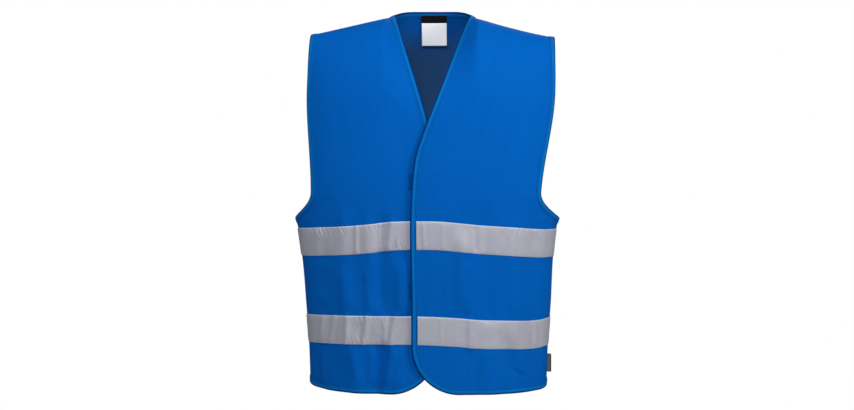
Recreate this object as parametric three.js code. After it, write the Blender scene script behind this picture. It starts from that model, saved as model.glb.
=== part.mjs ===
// A sleeveless warp-knit safety vest, standing in the form it takes when worn, with nobody in it.
// Millimetres, +Z up. The wearer faces -Y, so the wearer's left is +X. The origin lies midway
// between the two side neck points, where the shoulders carry the vest.

import * as THREE from 'three';

// Size of the vest. Heights are measured down from the neck points.
const LENGTH = 675;
const RIGHT_HEM_LIFT = 13;
const LEFT_HEM_LIFT = 9;
const NECK_HALF = 69;
const SHOULDER_HALF = 221;
const RIGHT_SHOULDER_DROP = 34;
const LEFT_SHOULDER_DROP = 41;
const LEFT_SHOULDER_SAG = 4;
const ARMPIT_HALF = 239;
const HEM_HALF = 214;
const FRONT_DEPTH = 126;
const BACK_DEPTH = 118;

// Armholes: depth to the armpit, height of the round at the bottom, how far each panel is cut in, and
// between which shares of the straight side above the round it comes in.
const ARMHOLE_DEPTH = 368;
const ARMHOLE_ROUND = 45;
const FRONT_ARMHOLE_CUT = 18;
const BACK_ARMHOLE_CUT = 17;
const CUT_FROM = 0.35;
const CUT_TO = 1.05;

// Neck and fronts: the V's two edges cross at V_DEPTH, then the wearer's left panel laps the right.
const V_DEPTH = 196;
const V_EASE = 10;
const LAP = 45;
const CORNER_RADIUS = 84;
const BACK_NECK_SET = 58;
const BACK_NECK_RISE = 14;

// Form under the cloth: how the shoulders roll over, how square the body is and how the top leans.
const SHOULDER_ROLL = 150;
const NECK_ROLL = 215;
const NECK_TURN = Math.PI / 3;
const NECK_SPREAD = 16;
const NECK_EASE = 20;
const NECK_FLATNESS = 3;
const RISE_FLATNESS = 5;
const RISE_TAPER = 2;
const NECK_TAPER = 1.5;
const ARM_SPREAD = 26;
const BODY_SQUARENESS = 2.3;
const TOP_LEAN = 10;
const LEAN_FROM = 100;
const LEAN_DEPTH = 400;
const HEM_LEAN = 2.5;

// Cloth, bindings, tapes and patches. The upper tape lies TAPE_DROP below the armpits and the lower
// one TAPE_LIFT above the hem. The upper patches are centred UPPER_PATCH_LIFT above the upper tape
// and the lower ones at a share of the way from that tape to the lower one.
const WALL = 1.2;
const SEAM_GAP = 0.8;
const GAP = 0.3;
const BINDING_WIDTH = 9.5;
const BINDING_LEAF = 0.8;
const TAPE_WIDTH = 50;
const TAPE_THICKNESS = 0.8;
const TAPE_DROP = 5;
const TAPE_LIFT = 86;
const TAPE_DROOP = 14.5;
const PATCH_HEIGHT = 28;
const PATCH_THICKNESS = 1;
const LOOP_LENGTH = 39;
const HOOK_LENGTH = 50;
const UPPER_PATCH_LIFT = 69;
const LOWER_PATCH_SHARE = 0.63;

// Labels: a size label hangs inside the back neck, its top LABEL_TUCK up over the binding, and a bare
// tab stands out of the left side seam.
const LABEL_WIDTH = 47.5;
const LABEL_TUCK = 4.5;
const HEADER_HEIGHT = 13;
const CARD_HEIGHT = 39;
const LABEL_THICKNESS = 0.5;
const TAB_LIFT = 28;
const TAB_HEIGHT = 33;
const TAB_REACH = 7.5;
const TAB_THICKNESS = 1.6;
const TAB_ROUND = 1.5;

// Depths of the tapes' top edges and of the patches' middles, and how far apart the hook and loop
// hold the two front panels.
const UPPER_TAPE = ARMHOLE_DEPTH + TAPE_DROP;
const LOWER_TAPE = LENGTH - TAPE_LIFT - TAPE_WIDTH;
const UPPER_PATCH = UPPER_TAPE - UPPER_PATCH_LIFT;
const UPPER_TAPE_FOOT = UPPER_TAPE + TAPE_WIDTH;
const LOWER_PATCH = UPPER_TAPE_FOOT + LOWER_PATCH_SHARE * (LOWER_TAPE - UPPER_TAPE_FOOT);
const SEAM_RUN = (SEAM_GAP / 2) * (SHOULDER_ROLL / BACK_DEPTH);
const LAP_STEP = WALL + 2 * PATCH_THICKNESS + 3 * GAP;
const LAP_FADE = 60;

// Side seam from armpit to hem: share of the way down, and share of the narrowing reached there.
const SIDE_LINE = [
  { down: 0, in: 0 },
  { down: 0.06, in: 0.18 },
  { down: 0.16, in: 0.36 },
  { down: 0.3, in: 0.52 },
  { down: 0.5, in: 0.67 },
  { down: 0.7, in: 0.86 },
  { down: 1, in: 1 },
];

// Chest and back in profile: share of the length down, and share of the full depth there.
const FRONT_LINE = [
  { down: 0, out: 0.9 },
  { down: 0.25, out: 0.95 },
  { down: 0.45, out: 1 },
  { down: 0.62, out: 0.99 },
  { down: 0.8, out: 0.96 },
  { down: 1, out: 0.98 },
];
const BACK_LINE = [
  { down: 0, out: 0.94 },
  { down: 0.25, out: 1 },
  { down: 0.45, out: 0.98 },
  { down: 0.65, out: 0.92 },
  { down: 0.85, out: 0.95 },
  { down: 1, out: 0.99 },
];

// How far the tapes droop on the wearer's right and left, as shares of TAPE_DROOP, by the share of the
// way from the lap to the side seam.
const UPPER_DROOP = [
  { share: 0, right: 0, left: 0 },
  { share: 0.1, right: 0, left: 0.03 },
  { share: 0.2, right: 0.12, left: 0.26 },
  { share: 0.3, right: 0.44, left: 0.51 },
  { share: 0.45, right: 0.7, left: 0.75 },
  { share: 0.65, right: 0.83, left: 1 },
  { share: 0.8, right: 0.87, left: 0.98 },
  { share: 1, right: 0.9, left: 0.94 },
];
const LOWER_DROOP = [
  { share: 0, right: 0, left: 0 },
  { share: 0.1, right: 0, left: 0.08 },
  { share: 0.2, right: 0.01, left: 0.23 },
  { share: 0.3, right: 0.02, left: 0.46 },
  { share: 0.45, right: 0.03, left: 0.59 },
  { share: 0.65, right: 0.1, left: 0.71 },
  { share: 0.8, right: 0.15, left: 0.55 },
  { share: 1, right: 0.21, left: 0.42 },
];

// Soft folds: place across as a share of half the width, top and foot as shares of the length,
// depth in mm (hollows are negative), half width in mm and how far the foot leans sideways in mm.
const FRONT_FOLDS = [
  { across: -0.85, top: 0.58, foot: 0.78, depth: -5, width: 12, lean: 4 },
  { across: -0.25, top: 0.52, foot: 0.8, depth: -4.5, width: 11, lean: -6 },
  { across: -0.36, top: 0.84, foot: 1.05, depth: -6, width: 12, lean: -12 },
  { across: -0.58, top: 0.82, foot: 1.05, depth: 4, width: 14, lean: 4 },
  { across: -0.22, top: 0.86, foot: 1.05, depth: 3, width: 12, lean: 4 },
  { across: -0.88, top: 0.84, foot: 1.05, depth: -3, width: 12, lean: 0 },
  { across: -0.45, top: 0.5, foot: 0.72, depth: 3, width: 13, lean: 4 },
  { across: -0.66, top: 0.5, foot: 0.95, depth: 3, width: 14, lean: -4 },
  { across: 0.31, top: 0.56, foot: 0.8, depth: 4.5, width: 12, lean: -2 },
  { across: 0.5, top: 0.5, foot: 0.84, depth: -3.5, width: 14, lean: 6 },
  { across: 0.72, top: 0.52, foot: 0.9, depth: 3, width: 15, lean: 4 },
  { across: 0.62, top: 0.83, foot: 1.02, depth: -6, width: 12, lean: 42 },
  { across: 0.5, top: 0.86, foot: 1.05, depth: 4, width: 14, lean: 10 },
  { across: 0.9, top: 0.55, foot: 1.05, depth: -4, width: 14, lean: -3 },
];
const BACK_FOLDS = [
  { across: -0.82, top: 0.52, foot: 1.05, depth: -5, width: 16, lean: 4 },
  { across: -0.5, top: 0.6, foot: 1.05, depth: 4, width: 22, lean: -6 },
  { across: -0.2, top: 0.5, foot: 1.05, depth: -4, width: 20, lean: -8 },
  { across: 0.12, top: 0.55, foot: 1.05, depth: 3.5, width: 20, lean: 4 },
  { across: 0.42, top: 0.6, foot: 1.05, depth: -4.5, width: 20, lean: 8 },
  { across: 0.8, top: 0.52, foot: 1.05, depth: -5, width: 16, lean: -4 },
];
const FOLD_FADE = 38;

// The grid that the cloth is laid out on, the angle between knots round a bottom corner, the step
// that measures the cloth's directions and the passes that place an edge on the shoulder roll.
const ROLL_ROWS = 8;
const SIDE_ROWS = 4;
const ROUND_ROWS = 6;
const MIDDLE_ROWS = 4;
const TAPE_ROWS = 2;
const CORNER_ROWS = 3;
const SHOULDER_COLUMNS = 5;
const FRONT_COLUMNS = 2 * SHOULDER_COLUMNS + 2;
const NECK_COLUMNS = 12;
const NECK_FROM = 2 + SHOULDER_COLUMNS;
const PATCH_ROWS = 2;
const PATCH_COLUMNS = 3;
const LABEL_ROWS = 2;
const LABEL_COLUMNS = 4;
const CORNER_STEP = (1.2 * BINDING_WIDTH) / CORNER_RADIUS;
const KNOT_STEP = 0.002;
const ROLL_PASSES = 20;

const colours = {
  knit: 0x0d55b0,
  binding: 0x1a6fc4,
  tape: 0x9a9ba3,
  patch: 0x0a3f86,
  header: 0x17171a,
  card: 0xe9e9ea,
  tab: 0x6f676b,
};

const { lerp, clamp, smoothstep } = THREE.MathUtils;

// Smooth curve through the rows of a table: its `value` column where the `key` column is `at`.
function through(table, key, value, at) {
  const place = clamp(at, table[0][key], table[table.length - 1][key]);
  const right = Math.max(1, table.findIndex((row) => row[key] >= place));
  const rows = [right - 2, right - 1, right, right + 1].map((i) => table[clamp(i, 0, table.length - 1)]);
  const span = rows[2][key] - rows[1][key];
  const slope = (a, b) => ((rows[b][value] - rows[a][value]) / (rows[b][key] - rows[a][key])) * span;
  const t = (place - rows[1][key]) / span;
  const rise = rows[2][value] - rows[1][value];
  const leave = slope(0, 2);
  const arrive = slope(1, 3);
  const bend = 3 * rise - 2 * leave - arrive;
  return rows[1][value] + t * (leave + t * (bend + t * (leave + arrive - 2 * rise)));
}

// Half the form's width: the side seam below the armpit, and above it the line over the arm.
function halfWidth(z) {
  const below = -ARMHOLE_DEPTH - z;
  if (below > 0) {
    return lerp(ARMPIT_HALF, HEM_HALF, through(SIDE_LINE, 'down', 'in', below / (LENGTH - ARMHOLE_DEPTH)));
  }
  return lerp(ARMPIT_HALF, SHOULDER_HALF + ARM_SPREAD, smoothstep(-below, 0, ARMHOLE_ROUND));
}

function depth(face, z) {
  const down = -z / LENGTH;
  return face < 0
    ? FRONT_DEPTH * through(FRONT_LINE, 'down', 'out', down)
    : BACK_DEPTH * through(BACK_LINE, 'down', 'out', down);
}

// The line over the shoulders and round the back of the neck, at x from the middle: where it lies,
// how tall the roll below it is, and the turn at which that roll starts (0 is level cloth).
function shoulderLine(x) {
  const reach = Math.min(1, Math.abs(x) / (NECK_HALF + NECK_SPREAD));
  const neck = (1 - reach ** NECK_FLATNESS) ** NECK_TAPER;
  const rise = BACK_NECK_RISE * (1 - reach ** RISE_FLATNESS) ** RISE_TAPER;
  const past = Math.abs(x) - NECK_HALF;
  const out = (past + Math.hypot(past, NECK_EASE)) / 2;
  const share = out / (SHOULDER_HALF - NECK_HALF);
  const drop = lerp(RIGHT_SHOULDER_DROP, LEFT_SHOULDER_DROP, (1 + x / SHOULDER_HALF) / 2);
  const sag = x > 0 ? 4 * LEFT_SHOULDER_SAG * share * (1 - share) : 0;
  return {
    y: BACK_NECK_SET * neck,
    z: rise - drop * share - sag,
    roll: lerp(SHOULDER_ROLL, NECK_ROLL, neck),
    start: NECK_TURN * neck,
  };
}

// Distance from the middle of cloth in a direction, where the form is at its widest over the arms.
function overArm(angle) {
  return (SHOULDER_HALF + ARM_SPREAD) * roundness(angle) * Math.sin(angle);
}

// Heights and runs. A run is the way down the cloth from the foot of the shoulder roll: it is
// negative on the roll, where the cloth turns from level to upright.
function heightAt(x, run) {
  const line = shoulderLine(x);
  if (run >= 0) return line.z - line.roll - run;
  const turn = Math.PI / 2 + (run * Math.cos(line.start)) / line.roll;
  return line.z - line.roll * (1 - Math.cos(turn) / Math.cos(line.start));
}

function runAt(x, z) {
  const line = shoulderLine(x);
  const share = (line.z - z) / line.roll;
  if (share >= 1) return line.roll * (share - 1);
  const turn = Math.acos(clamp(Math.cos(line.start) * (1 - share), -1, 1));
  return ((turn - Math.PI / 2) * line.roll) / Math.cos(line.start);
}

function topRun(x) {
  const line = shoulderLine(x);
  return ((line.start - Math.PI / 2) * line.roll) / Math.cos(line.start);
}

// Reach of the squared-off round body in a direction, for half widths of 1.
function roundness(angle) {
  const sum = Math.abs(Math.sin(angle)) ** BODY_SQUARENESS + Math.abs(Math.cos(angle)) ** BODY_SQUARENESS;
  return sum ** (-1 / BODY_SQUARENESS);
}

// How far the body lies in front of its side seams in a direction, as a share of its depth.
const forwardAt = (angle) => roundness(angle) * Math.cos(angle);

// Direction, seen from the body's axis, of the cloth at x from the middle and at height z.
function angleAt(x, z) {
  const share = Math.min(1, (Math.abs(x) / halfWidth(z)) ** BODY_SQUARENESS);
  return Math.sign(x) * Math.atan2(share ** (1 / BODY_SQUARENESS), (1 - share) ** (1 / BODY_SQUARENESS));
}

function folds(face, x, z) {
  const table = face < 0 ? FRONT_FOLDS : BACK_FOLDS;
  return table.reduce((sum, fold) => {
    const top = -fold.top * LENGTH;
    const foot = -fold.foot * LENGTH;
    const sway = fold.lean * ((top - z) / (top - foot));
    const off = (x - fold.across * HEM_HALF - sway) / fold.width;
    const fade = smoothstep(top - z, 0, FOLD_FADE) * smoothstep(z - foot, 0, FOLD_FADE);
    return sum + fold.depth * fade * Math.exp(-off * off);
  }, 0);
}

// How far a front panel stands off the form so that the left one laps the right one.
function lapStand(panel, x, z) {
  if (panel.face > 0) return 0;
  const past = Math.max(0, panel.side * x - LAP / 2 - LAP_STEP);
  const across = 1 - smoothstep(past, 0, LAP_FADE);
  const down = smoothstep(-z, V_DEPTH - 2 * LAP_FADE, V_DEPTH - BINDING_WIDTH);
  return ((panel.side * LAP_STEP) / 2) * across * down;
}

// A panel of cloth: face -1 is the front and +1 the back, side +1 the wearer's left.
const panels = {
  right: { face: -1, side: -1, cut: FRONT_ARMHOLE_CUT },
  left: { face: -1, side: 1, cut: FRONT_ARMHOLE_CUT },
  back: { face: 1, side: 1, cut: BACK_ARMHOLE_CUT },
};

function clothPoint(panel, angle, run) {
  const over = overArm(angle);
  const line = shoulderLine(over);
  const z = heightAt(over, run);
  const width = halfWidth(z);
  const forward = depth(panel.face, z);
  const x = width * roundness(angle) * Math.sin(angle);
  const turn = Math.PI / 2 + (Math.min(0, run) * Math.cos(line.start)) / line.roll;
  const rolled = (Math.sin(turn) - Math.sin(line.start)) / (1 - Math.sin(line.start));
  const y = lerp(line.y, panel.face * forward * roundness(angle) * Math.cos(angle), rolled);
  const stand = folds(panel.face, x, z) + lapStand(panel, x, z);
  const outward = new THREE.Vector2(Math.sin(angle) / width, (panel.face * Math.cos(angle)) / forward);
  outward.setLength(stand);
  const top = TOP_LEAN * (1 - smoothstep(-z, LEAN_FROM, LEAN_DEPTH));
  const lean = top + HEM_LEAN * smoothstep(-z, UPPER_TAPE, LOWER_TAPE);
  return new THREE.Vector3(x + lean + outward.x, y + outward.y, z);
}

let knots = 0;

// A knot is a point of a panel's middle surface, with the directions of the cloth and its outward
// normal there.
function knot(panel, angle, run) {
  const point = clothPoint(panel, angle, run);
  const before = clothPoint(panel, angle - KNOT_STEP, run);
  const along = clothPoint(panel, angle + KNOT_STEP, run).sub(before).divideScalar(2 * KNOT_STEP);
  const down = clothPoint(panel, angle, run + KNOT_STEP).sub(point).divideScalar(KNOT_STEP);
  const normal = along.clone().cross(down).multiplyScalar(panel.face).normalize();
  knots += 1;
  return { id: knots, panel, angle, run, point, along, down, normal };
}

const knotAtHeight = (panel, angle, z) => knot(panel, angle, runAt(overArm(angle), z));

const knotAt = (panel, x, z) => knotAtHeight(panel, angleAt(x, z), z);

// A knot moved over the cloth by a short step in space.
function slide(from, step) {
  const aa = from.along.dot(from.along);
  const ad = from.along.dot(from.down);
  const dd = from.down.dot(from.down);
  const a = from.along.dot(step);
  const d = from.down.dot(step);
  const scale = aa * dd - ad * ad;
  return knot(from.panel, from.angle + (a * dd - d * ad) / scale, from.run + (d * aa - a * ad) / scale);
}

// Slides a knot square to the way its edge runs from `before` to `after`, to the given hand.
function slideInside(here, before, after, hand) {
  const way = after.point.clone().sub(before.point);
  return slide(here, way.cross(here.normal).setLength(BINDING_WIDTH * hand));
}

// The line that the binding's leaf reaches, all along an edge.
function bindingLine(edge, hand) {
  const at = (i) => edge[clamp(i, 0, edge.length - 1)];
  return edge.map((here, i) => slideInside(here, at(i - 1), at(i + 1), hand));
}

// The same for an edge that starts at the shoulder seam, where the line starts on the seam too, a
// binding's width along it.
function bindingLineFromSeam(edge, hand) {
  const line = bindingLine(edge, hand);
  const { panel, angle } = edge[0];
  const start = overArm(angle);
  const inward = Math.sign(overArm(line[0].angle) - start) * BINDING_WIDTH;
  const beside = angleAt(start + inward, 0);
  line[0] = knot(panel, beside, rollRun(overArm(beside), 0));
  return line;
}

const steps = (count) => Array.from({ length: count + 1 }, (_, i) => i / count);

// Run of the rows on the shoulder roll: the seam, the foot of a binding laid along it, then evenly.
function rollRun(x, row) {
  if (row === 0) return topRun(x) + SEAM_RUN;
  return (topRun(x) + BINDING_WIDTH) * (1 - (row - 1) / (ROLL_ROWS - 1));
}

// Front edge of a panel at height z, measured from the middle towards the panel's own side: down
// the V, straight down the lap, then round the bottom corner.
function frontEdge(z) {
  const vee = NECK_HALF * (1 + Math.min(0, z) / V_DEPTH);
  const lap = -LAP / 2;
  const into = Math.max(0, CORNER_RADIUS - LENGTH - z);
  const corner = CORNER_RADIUS - Math.sqrt(Math.max(0, CORNER_RADIUS ** 2 - into ** 2));
  return (vee + lap + Math.hypot(vee - lap, V_EASE)) / 2 + corner;
}

// Half the width between the armhole edges at height z, above the round.
function armholeEdge(panel, side, z) {
  const tip = side > 0 ? LEFT_SHOULDER_DROP : RIGHT_SHOULDER_DROP;
  const share = (-z - tip) / (ARMHOLE_DEPTH - ARMHOLE_ROUND - tip);
  return side * (SHOULDER_HALF - panel.cut * smoothstep(share, CUT_FROM, CUT_TO));
}

// Share of the way that a row lies from the foot of the shoulder roll to the armpits. The lower it
// is, the more level it runs up to the armholes.
const belowRoll = (row) => Math.max(0, row - ROLL_ROWS) / (ARMPIT_ROW - ROLL_ROWS);

// The knot where an edge crosses a row of the roll: each pass brings the height nearer to the row.
function rollKnot(panel, edge, row) {
  let z = 0;
  for (let pass = 0; pass < ROLL_PASSES; pass++) z = heightAt(edge(z), rollRun(edge(z), row));
  return knotAt(panel, edge(z), z);
}

const seamAngle = (panel) => Math.PI / 2 - SEAM_GAP / 2 / (panel.face < 0 ? FRONT_DEPTH : BACK_DEPTH);

// Armhole edge from shoulder seam to armpit: down the roll and the side, then round under the arm.
function armholeKnots(panel, side) {
  const edge = (z) => armholeEdge(panel, side, z);
  const roll = steps(ROLL_ROWS).map((_, row) => rollKnot(panel, edge, row));
  const straightFoot = ARMHOLE_ROUND - ARMHOLE_DEPTH;
  const straight = steps(SIDE_ROWS).slice(1).map((share) => {
    const z = lerp(roll[ROLL_ROWS].point.z, straightFoot, share);
    return knotAt(panel, edge(z), z);
  });
  const start = forwardAt(straight[SIDE_ROWS - 1].angle);
  const round = steps(ROUND_ROWS).slice(1).map((share) => {
    const turn = (share * Math.PI) / 2;
    const forward = lerp(forwardAt(seamAngle(panel)), start, Math.cos(turn));
    const angle = side * Math.atan2((1 - forward ** BODY_SQUARENESS) ** (1 / BODY_SQUARENESS), forward);
    return knotAtHeight(panel, angle, straightFoot - ARMHOLE_ROUND * Math.sin(turn));
  });
  return [...roll, ...straight, ...round];
}

// The foot of an armhole's binding, which reaches the side seam a binding's width below the armpit.
function armholeBindingLine(armhole, side) {
  const { panel } = armhole[0];
  const line = bindingLineFromSeam(armhole, -side * panel.face);
  line[ARMPIT_ROW] = knotAtHeight(panel, side * seamAngle(panel), -ARMHOLE_DEPTH - BINDING_WIDTH);
  return line;
}

// Height of a line across the vest at a share of the way from the middle to a side: a tape's edge
// droops towards the side seams, and the hem lifts towards them.
const tapeLine = (below) => (side, share) => {
  const hand = side > 0 ? 'left' : 'right';
  const upper = through(UPPER_DROOP, 'share', hand, share);
  const lower = through(LOWER_DROOP, 'share', hand, share);
  return -below - TAPE_DROOP * lerp(upper, lower, smoothstep(below, UPPER_TAPE_FOOT, LOWER_TAPE));
};

const hemLine = (side, share) =>
  (side > 0 ? LEFT_HEM_LIFT * share ** 4 : RIGHT_HEM_LIFT * share ** 2) - LENGTH;

// The rows across the vest from the upper tape's top to the lower tape's foot.
const TAPE_LINES = [
  ...steps(TAPE_ROWS).map((part) => tapeLine(UPPER_TAPE + part * TAPE_WIDTH)),
  ...steps(MIDDLE_ROWS).slice(1, -1).map((part) =>
    tapeLine(lerp(UPPER_TAPE_FOOT, LOWER_TAPE, part))),
  ...steps(TAPE_ROWS).map((part) => tapeLine(LOWER_TAPE + part * TAPE_WIDTH)),
];
const ARMPIT_ROW = ROLL_ROWS + SIDE_ROWS + ROUND_ROWS;
const UPPER_TAPE_ROW = ARMPIT_ROW + 1;
const LOWER_TAPE_ROW = UPPER_TAPE_ROW + TAPE_ROWS + MIDDLE_ROWS;
const CORNER_ROW = LOWER_TAPE_ROW + TAPE_ROWS;
const HEM_ROW = CORNER_ROW + CORNER_ROWS + 2;

// A front panel's front edge, from the neck point down the V and the lap to the corner's middle.
function frontEdgeKnots(panel, onCorner) {
  const edge = (z) => panel.side * frontEdge(z);
  const roll = steps(ROLL_ROWS).map((_, row) => rollKnot(panel, edge, row));
  const chestFoot = BINDING_WIDTH - UPPER_TAPE;
  const chest = steps(SIDE_ROWS + ROUND_ROWS).slice(1).map((share) =>
    lerp(roll[ROLL_ROWS].point.z, chestFoot, share));
  const heights = [...chest, ...TAPE_LINES.map((line) => line(panel.side, 0))];
  const sunk = (heights[heights.length - 1] + LENGTH) / CORNER_RADIUS;
  const cornerTop = Math.asin(clamp(1 - sunk, 0, 1));
  const corner = steps(CORNER_ROWS + 1).slice(1).map((share) =>
    onCorner(lerp(cornerTop, Math.PI / 4 - CORNER_STEP, share)));
  return [...roll, ...heights.map((z) => knotAt(panel, edge(z), z)), ...corner, onCorner(Math.PI / 4)];
}

// A front panel: rows run from its front edge to the armhole or side seam, and from shoulder to hem.
// Above the armpit a row has one knot more, because the armhole's bound strip turns into the seam.
function frontRows(panel) {
  const { side } = panel;
  const middleX = frontEdge(CORNER_RADIUS - LENGTH) + CORNER_RADIUS;
  const onCorner = (turn) => {
    const z = CORNER_RADIUS * (1 - Math.sin(turn)) - LENGTH;
    return knotAt(panel, side * (middleX - CORNER_RADIUS * Math.cos(turn)), z);
  };
  const armhole = armholeKnots(panel, side);
  const armholeLine = armholeBindingLine(armhole, side);
  const edge = frontEdgeKnots(panel, onCorner);
  const cornerTurns = [Math.PI / 4 + CORNER_STEP, (Math.PI / 4 + CORNER_STEP + Math.PI / 2) / 2];
  const flatStart = Math.abs(angleAt(middleX, -LENGTH));
  const flat = steps(FRONT_COLUMNS - 2 - cornerTurns.length).map((share) =>
    knotAtHeight(panel, side * lerp(flatStart, seamAngle(panel), share), hemLine(side, share)));
  const hem = [edge[HEM_ROW], ...cornerTurns.map(onCorner), ...flat];
  const edgeLine = bindingLineFromSeam(edge, side * panel.face);
  const hemBinding = bindingLine(hem, side * panel.face);
  edgeLine[HEM_ROW - 1] = slideInside(hem[0], edge[HEM_ROW - 1], hem[1], side * panel.face);
  const rows = armhole.map((outer, row) => {
    const inner = edgeLine[row];
    const middle = steps(FRONT_COLUMNS - 2).slice(1, -1).map((share) => {
      const angle = lerp(inner.angle, armholeLine[row].angle, share);
      const level = share + share * (1 - share) * belowRoll(row);
      const run = lerp(inner.run, armholeLine[row].run, level);
      return knot(panel, angle, row > ROLL_ROWS ? run : rollRun(overArm(angle), row));
    });
    return [edge[row], inner, ...middle, armholeLine[row], outer];
  });
  TAPE_LINES.forEach((line, k) => {
    const inner = edgeLine[UPPER_TAPE_ROW + k];
    const outward = steps(FRONT_COLUMNS - 2).slice(1).map((share) =>
      knotAtHeight(panel, lerp(inner.angle, side * seamAngle(panel), share), line(side, share)));
    rows.push([edge[UPPER_TAPE_ROW + k], inner, ...outward]);
  });
  const above = rows[CORNER_ROW];
  for (let row = CORNER_ROW + 1; row < HEM_ROW - 1; row++) {
    const share = (row - CORNER_ROW) / (HEM_ROW - 1 - CORNER_ROW);
    const outward = above.slice(2).map((top, i) => between(top, hemBinding[i + 2], share));
    rows.push([edge[row], edgeLine[row], ...outward]);
  }
  rows.push([edge[HEM_ROW - 1], edgeLine[HEM_ROW - 1], ...hemBinding.slice(2)]);
  rows.push([hem[0], hem[1], ...hem.slice(2)]);
  return rows;
}

function between(from, to, share) {
  return knot(from.panel, lerp(from.angle, to.angle, share), lerp(from.run, to.run, share));
}

// Directions of the back's columns from one armhole's binding line to the other's. One lies at each
// neck point and one a binding's width outside it, as on the front panels.
function backColumns(right, left) {
  const neck = angleAt(frontEdge(0), 0);
  const beside = angleAt(frontEdge(0) + BINDING_WIDTH, 0);
  return [
    ...steps(SHOULDER_COLUMNS).map((share) => lerp(right, -beside, share)),
    ...steps(NECK_COLUMNS).map((share) => lerp(-neck, neck, share)),
    ...steps(SHOULDER_COLUMNS).map((share) => lerp(beside, left, share)),
  ];
}

// The back panel: rows run from the right armhole or side seam to the left. Below the armpits a row
// leaves its first place empty, so that its knots stay under those of the rows above.
function backRows() {
  const panel = panels.back;
  const right = armholeKnots(panel, -1);
  const left = armholeKnots(panel, 1);
  const rightLine = armholeBindingLine(right, -1);
  const leftLine = armholeBindingLine(left, 1);
  const rows = left.map((_, row) => {
    const columns = backColumns(rightLine[row].angle, leftLine[row].angle);
    const middle = columns.slice(1, -1).map((angle) => {
      const across = (angle - columns[0]) / (columns[columns.length - 1] - columns[0]);
      const arch = (4 * across * (1 - across)) ** 2;
      const lift = arch * belowRoll(row) * (2 * BINDING_WIDTH - TAPE_DROP);
      const run = lerp(rightLine[row].run, leftLine[row].run, across) - lift;
      return knot(panel, angle, row > ROLL_ROWS ? run : rollRun(overArm(angle), row));
    });
    return [right[row], rightLine[row], ...middle, leftLine[row], left[row]];
  });
  const neckEdge = rows[0].slice(NECK_FROM, NECK_FROM + NECK_COLUMNS + 1);
  bindingLine(neckEdge, -panel.face).forEach((inner, i) => {
    rows[1][NECK_FROM + i] = inner;
  });
  const hemSteps = steps(CORNER_ROWS + 1).slice(1);
  const lastTape = TAPE_LINES[TAPE_LINES.length - 1];
  const lines = [
    ...TAPE_LINES,
    ...hemSteps.map((part) => (side, share) =>
      lerp(lastTape(side, share), hemLine(side, share) + BINDING_WIDTH, part)),
    hemLine,
  ];
  for (const line of lines) {
    const seam = seamAngle(panel);
    const across = backColumns(-seam, seam).map((angle) =>
      knotAtHeight(panel, angle, line(Math.sign(angle), Math.abs(angle) / seam)));
    rows.push([null, ...across]);
  }
  return rows;
}

// The cells of a panel's grid that `keep` names by row and column, each four knots seen
// anticlockwise from outside and turned so that the first and third are the nearer pair.
function cellsOf(rows, flip, keep = () => true) {
  const cells = [];
  rows.slice(1).forEach((lower, row) => {
    const upper = rows[row];
    for (let column = 0; column + 1 < lower.length; column++) {
      const cell = [upper[column], upper[column + 1], lower[column + 1], lower[column]];
      if (!cell.every(Boolean) || !keep(row, column)) continue;
      if (flip) cell.reverse();
      const [a, b, c, d] = cell.map((here) => here.point);
      if (a.distanceTo(c) > b.distanceTo(d)) cell.push(cell.shift());
      cells.push(cell);
    }
  });
  return cells;
}

// The edges that only one cell has, each as its two knots in the cell's own order.
function rim(cells) {
  const edges = new Map();
  for (const cell of cells) {
    cell.forEach((from, i) => {
      const to = cell[(i + 1) % 4];
      edges.set(`${from.id} ${to.id}`, [from, to]);
    });
  }
  return [...edges.values()].filter(([from, to]) => !edges.has(`${to.id} ${from.id}`));
}

const lift = (from, height) => from.point.clone().addScaledVector(from.normal, height);

// Two triangles over four corners. Both faces of a wall are split along the same diagonal.
const quad = (a, b, c, d) => [a, b, c, a, c, d];

const flipped = (a, b, c, d) => [a, c, b, a, d, c];

const solid = (corners) => new THREE.BufferGeometry().setFromPoints(corners);

// A closed wall over cells of the cloth, between two heights above its middle surface.
function wall(cells, low, high) {
  const corners = [];
  for (const cell of cells) {
    corners.push(...quad(...cell.map((here) => lift(here, high))));
    corners.push(...flipped(...cell.map((here) => lift(here, low))));
  }
  for (const [from, to] of rim(cells)) {
    corners.push(...quad(lift(from, low), lift(to, low), lift(to, high), lift(from, high)));
  }
  return solid(corners);
}

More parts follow.
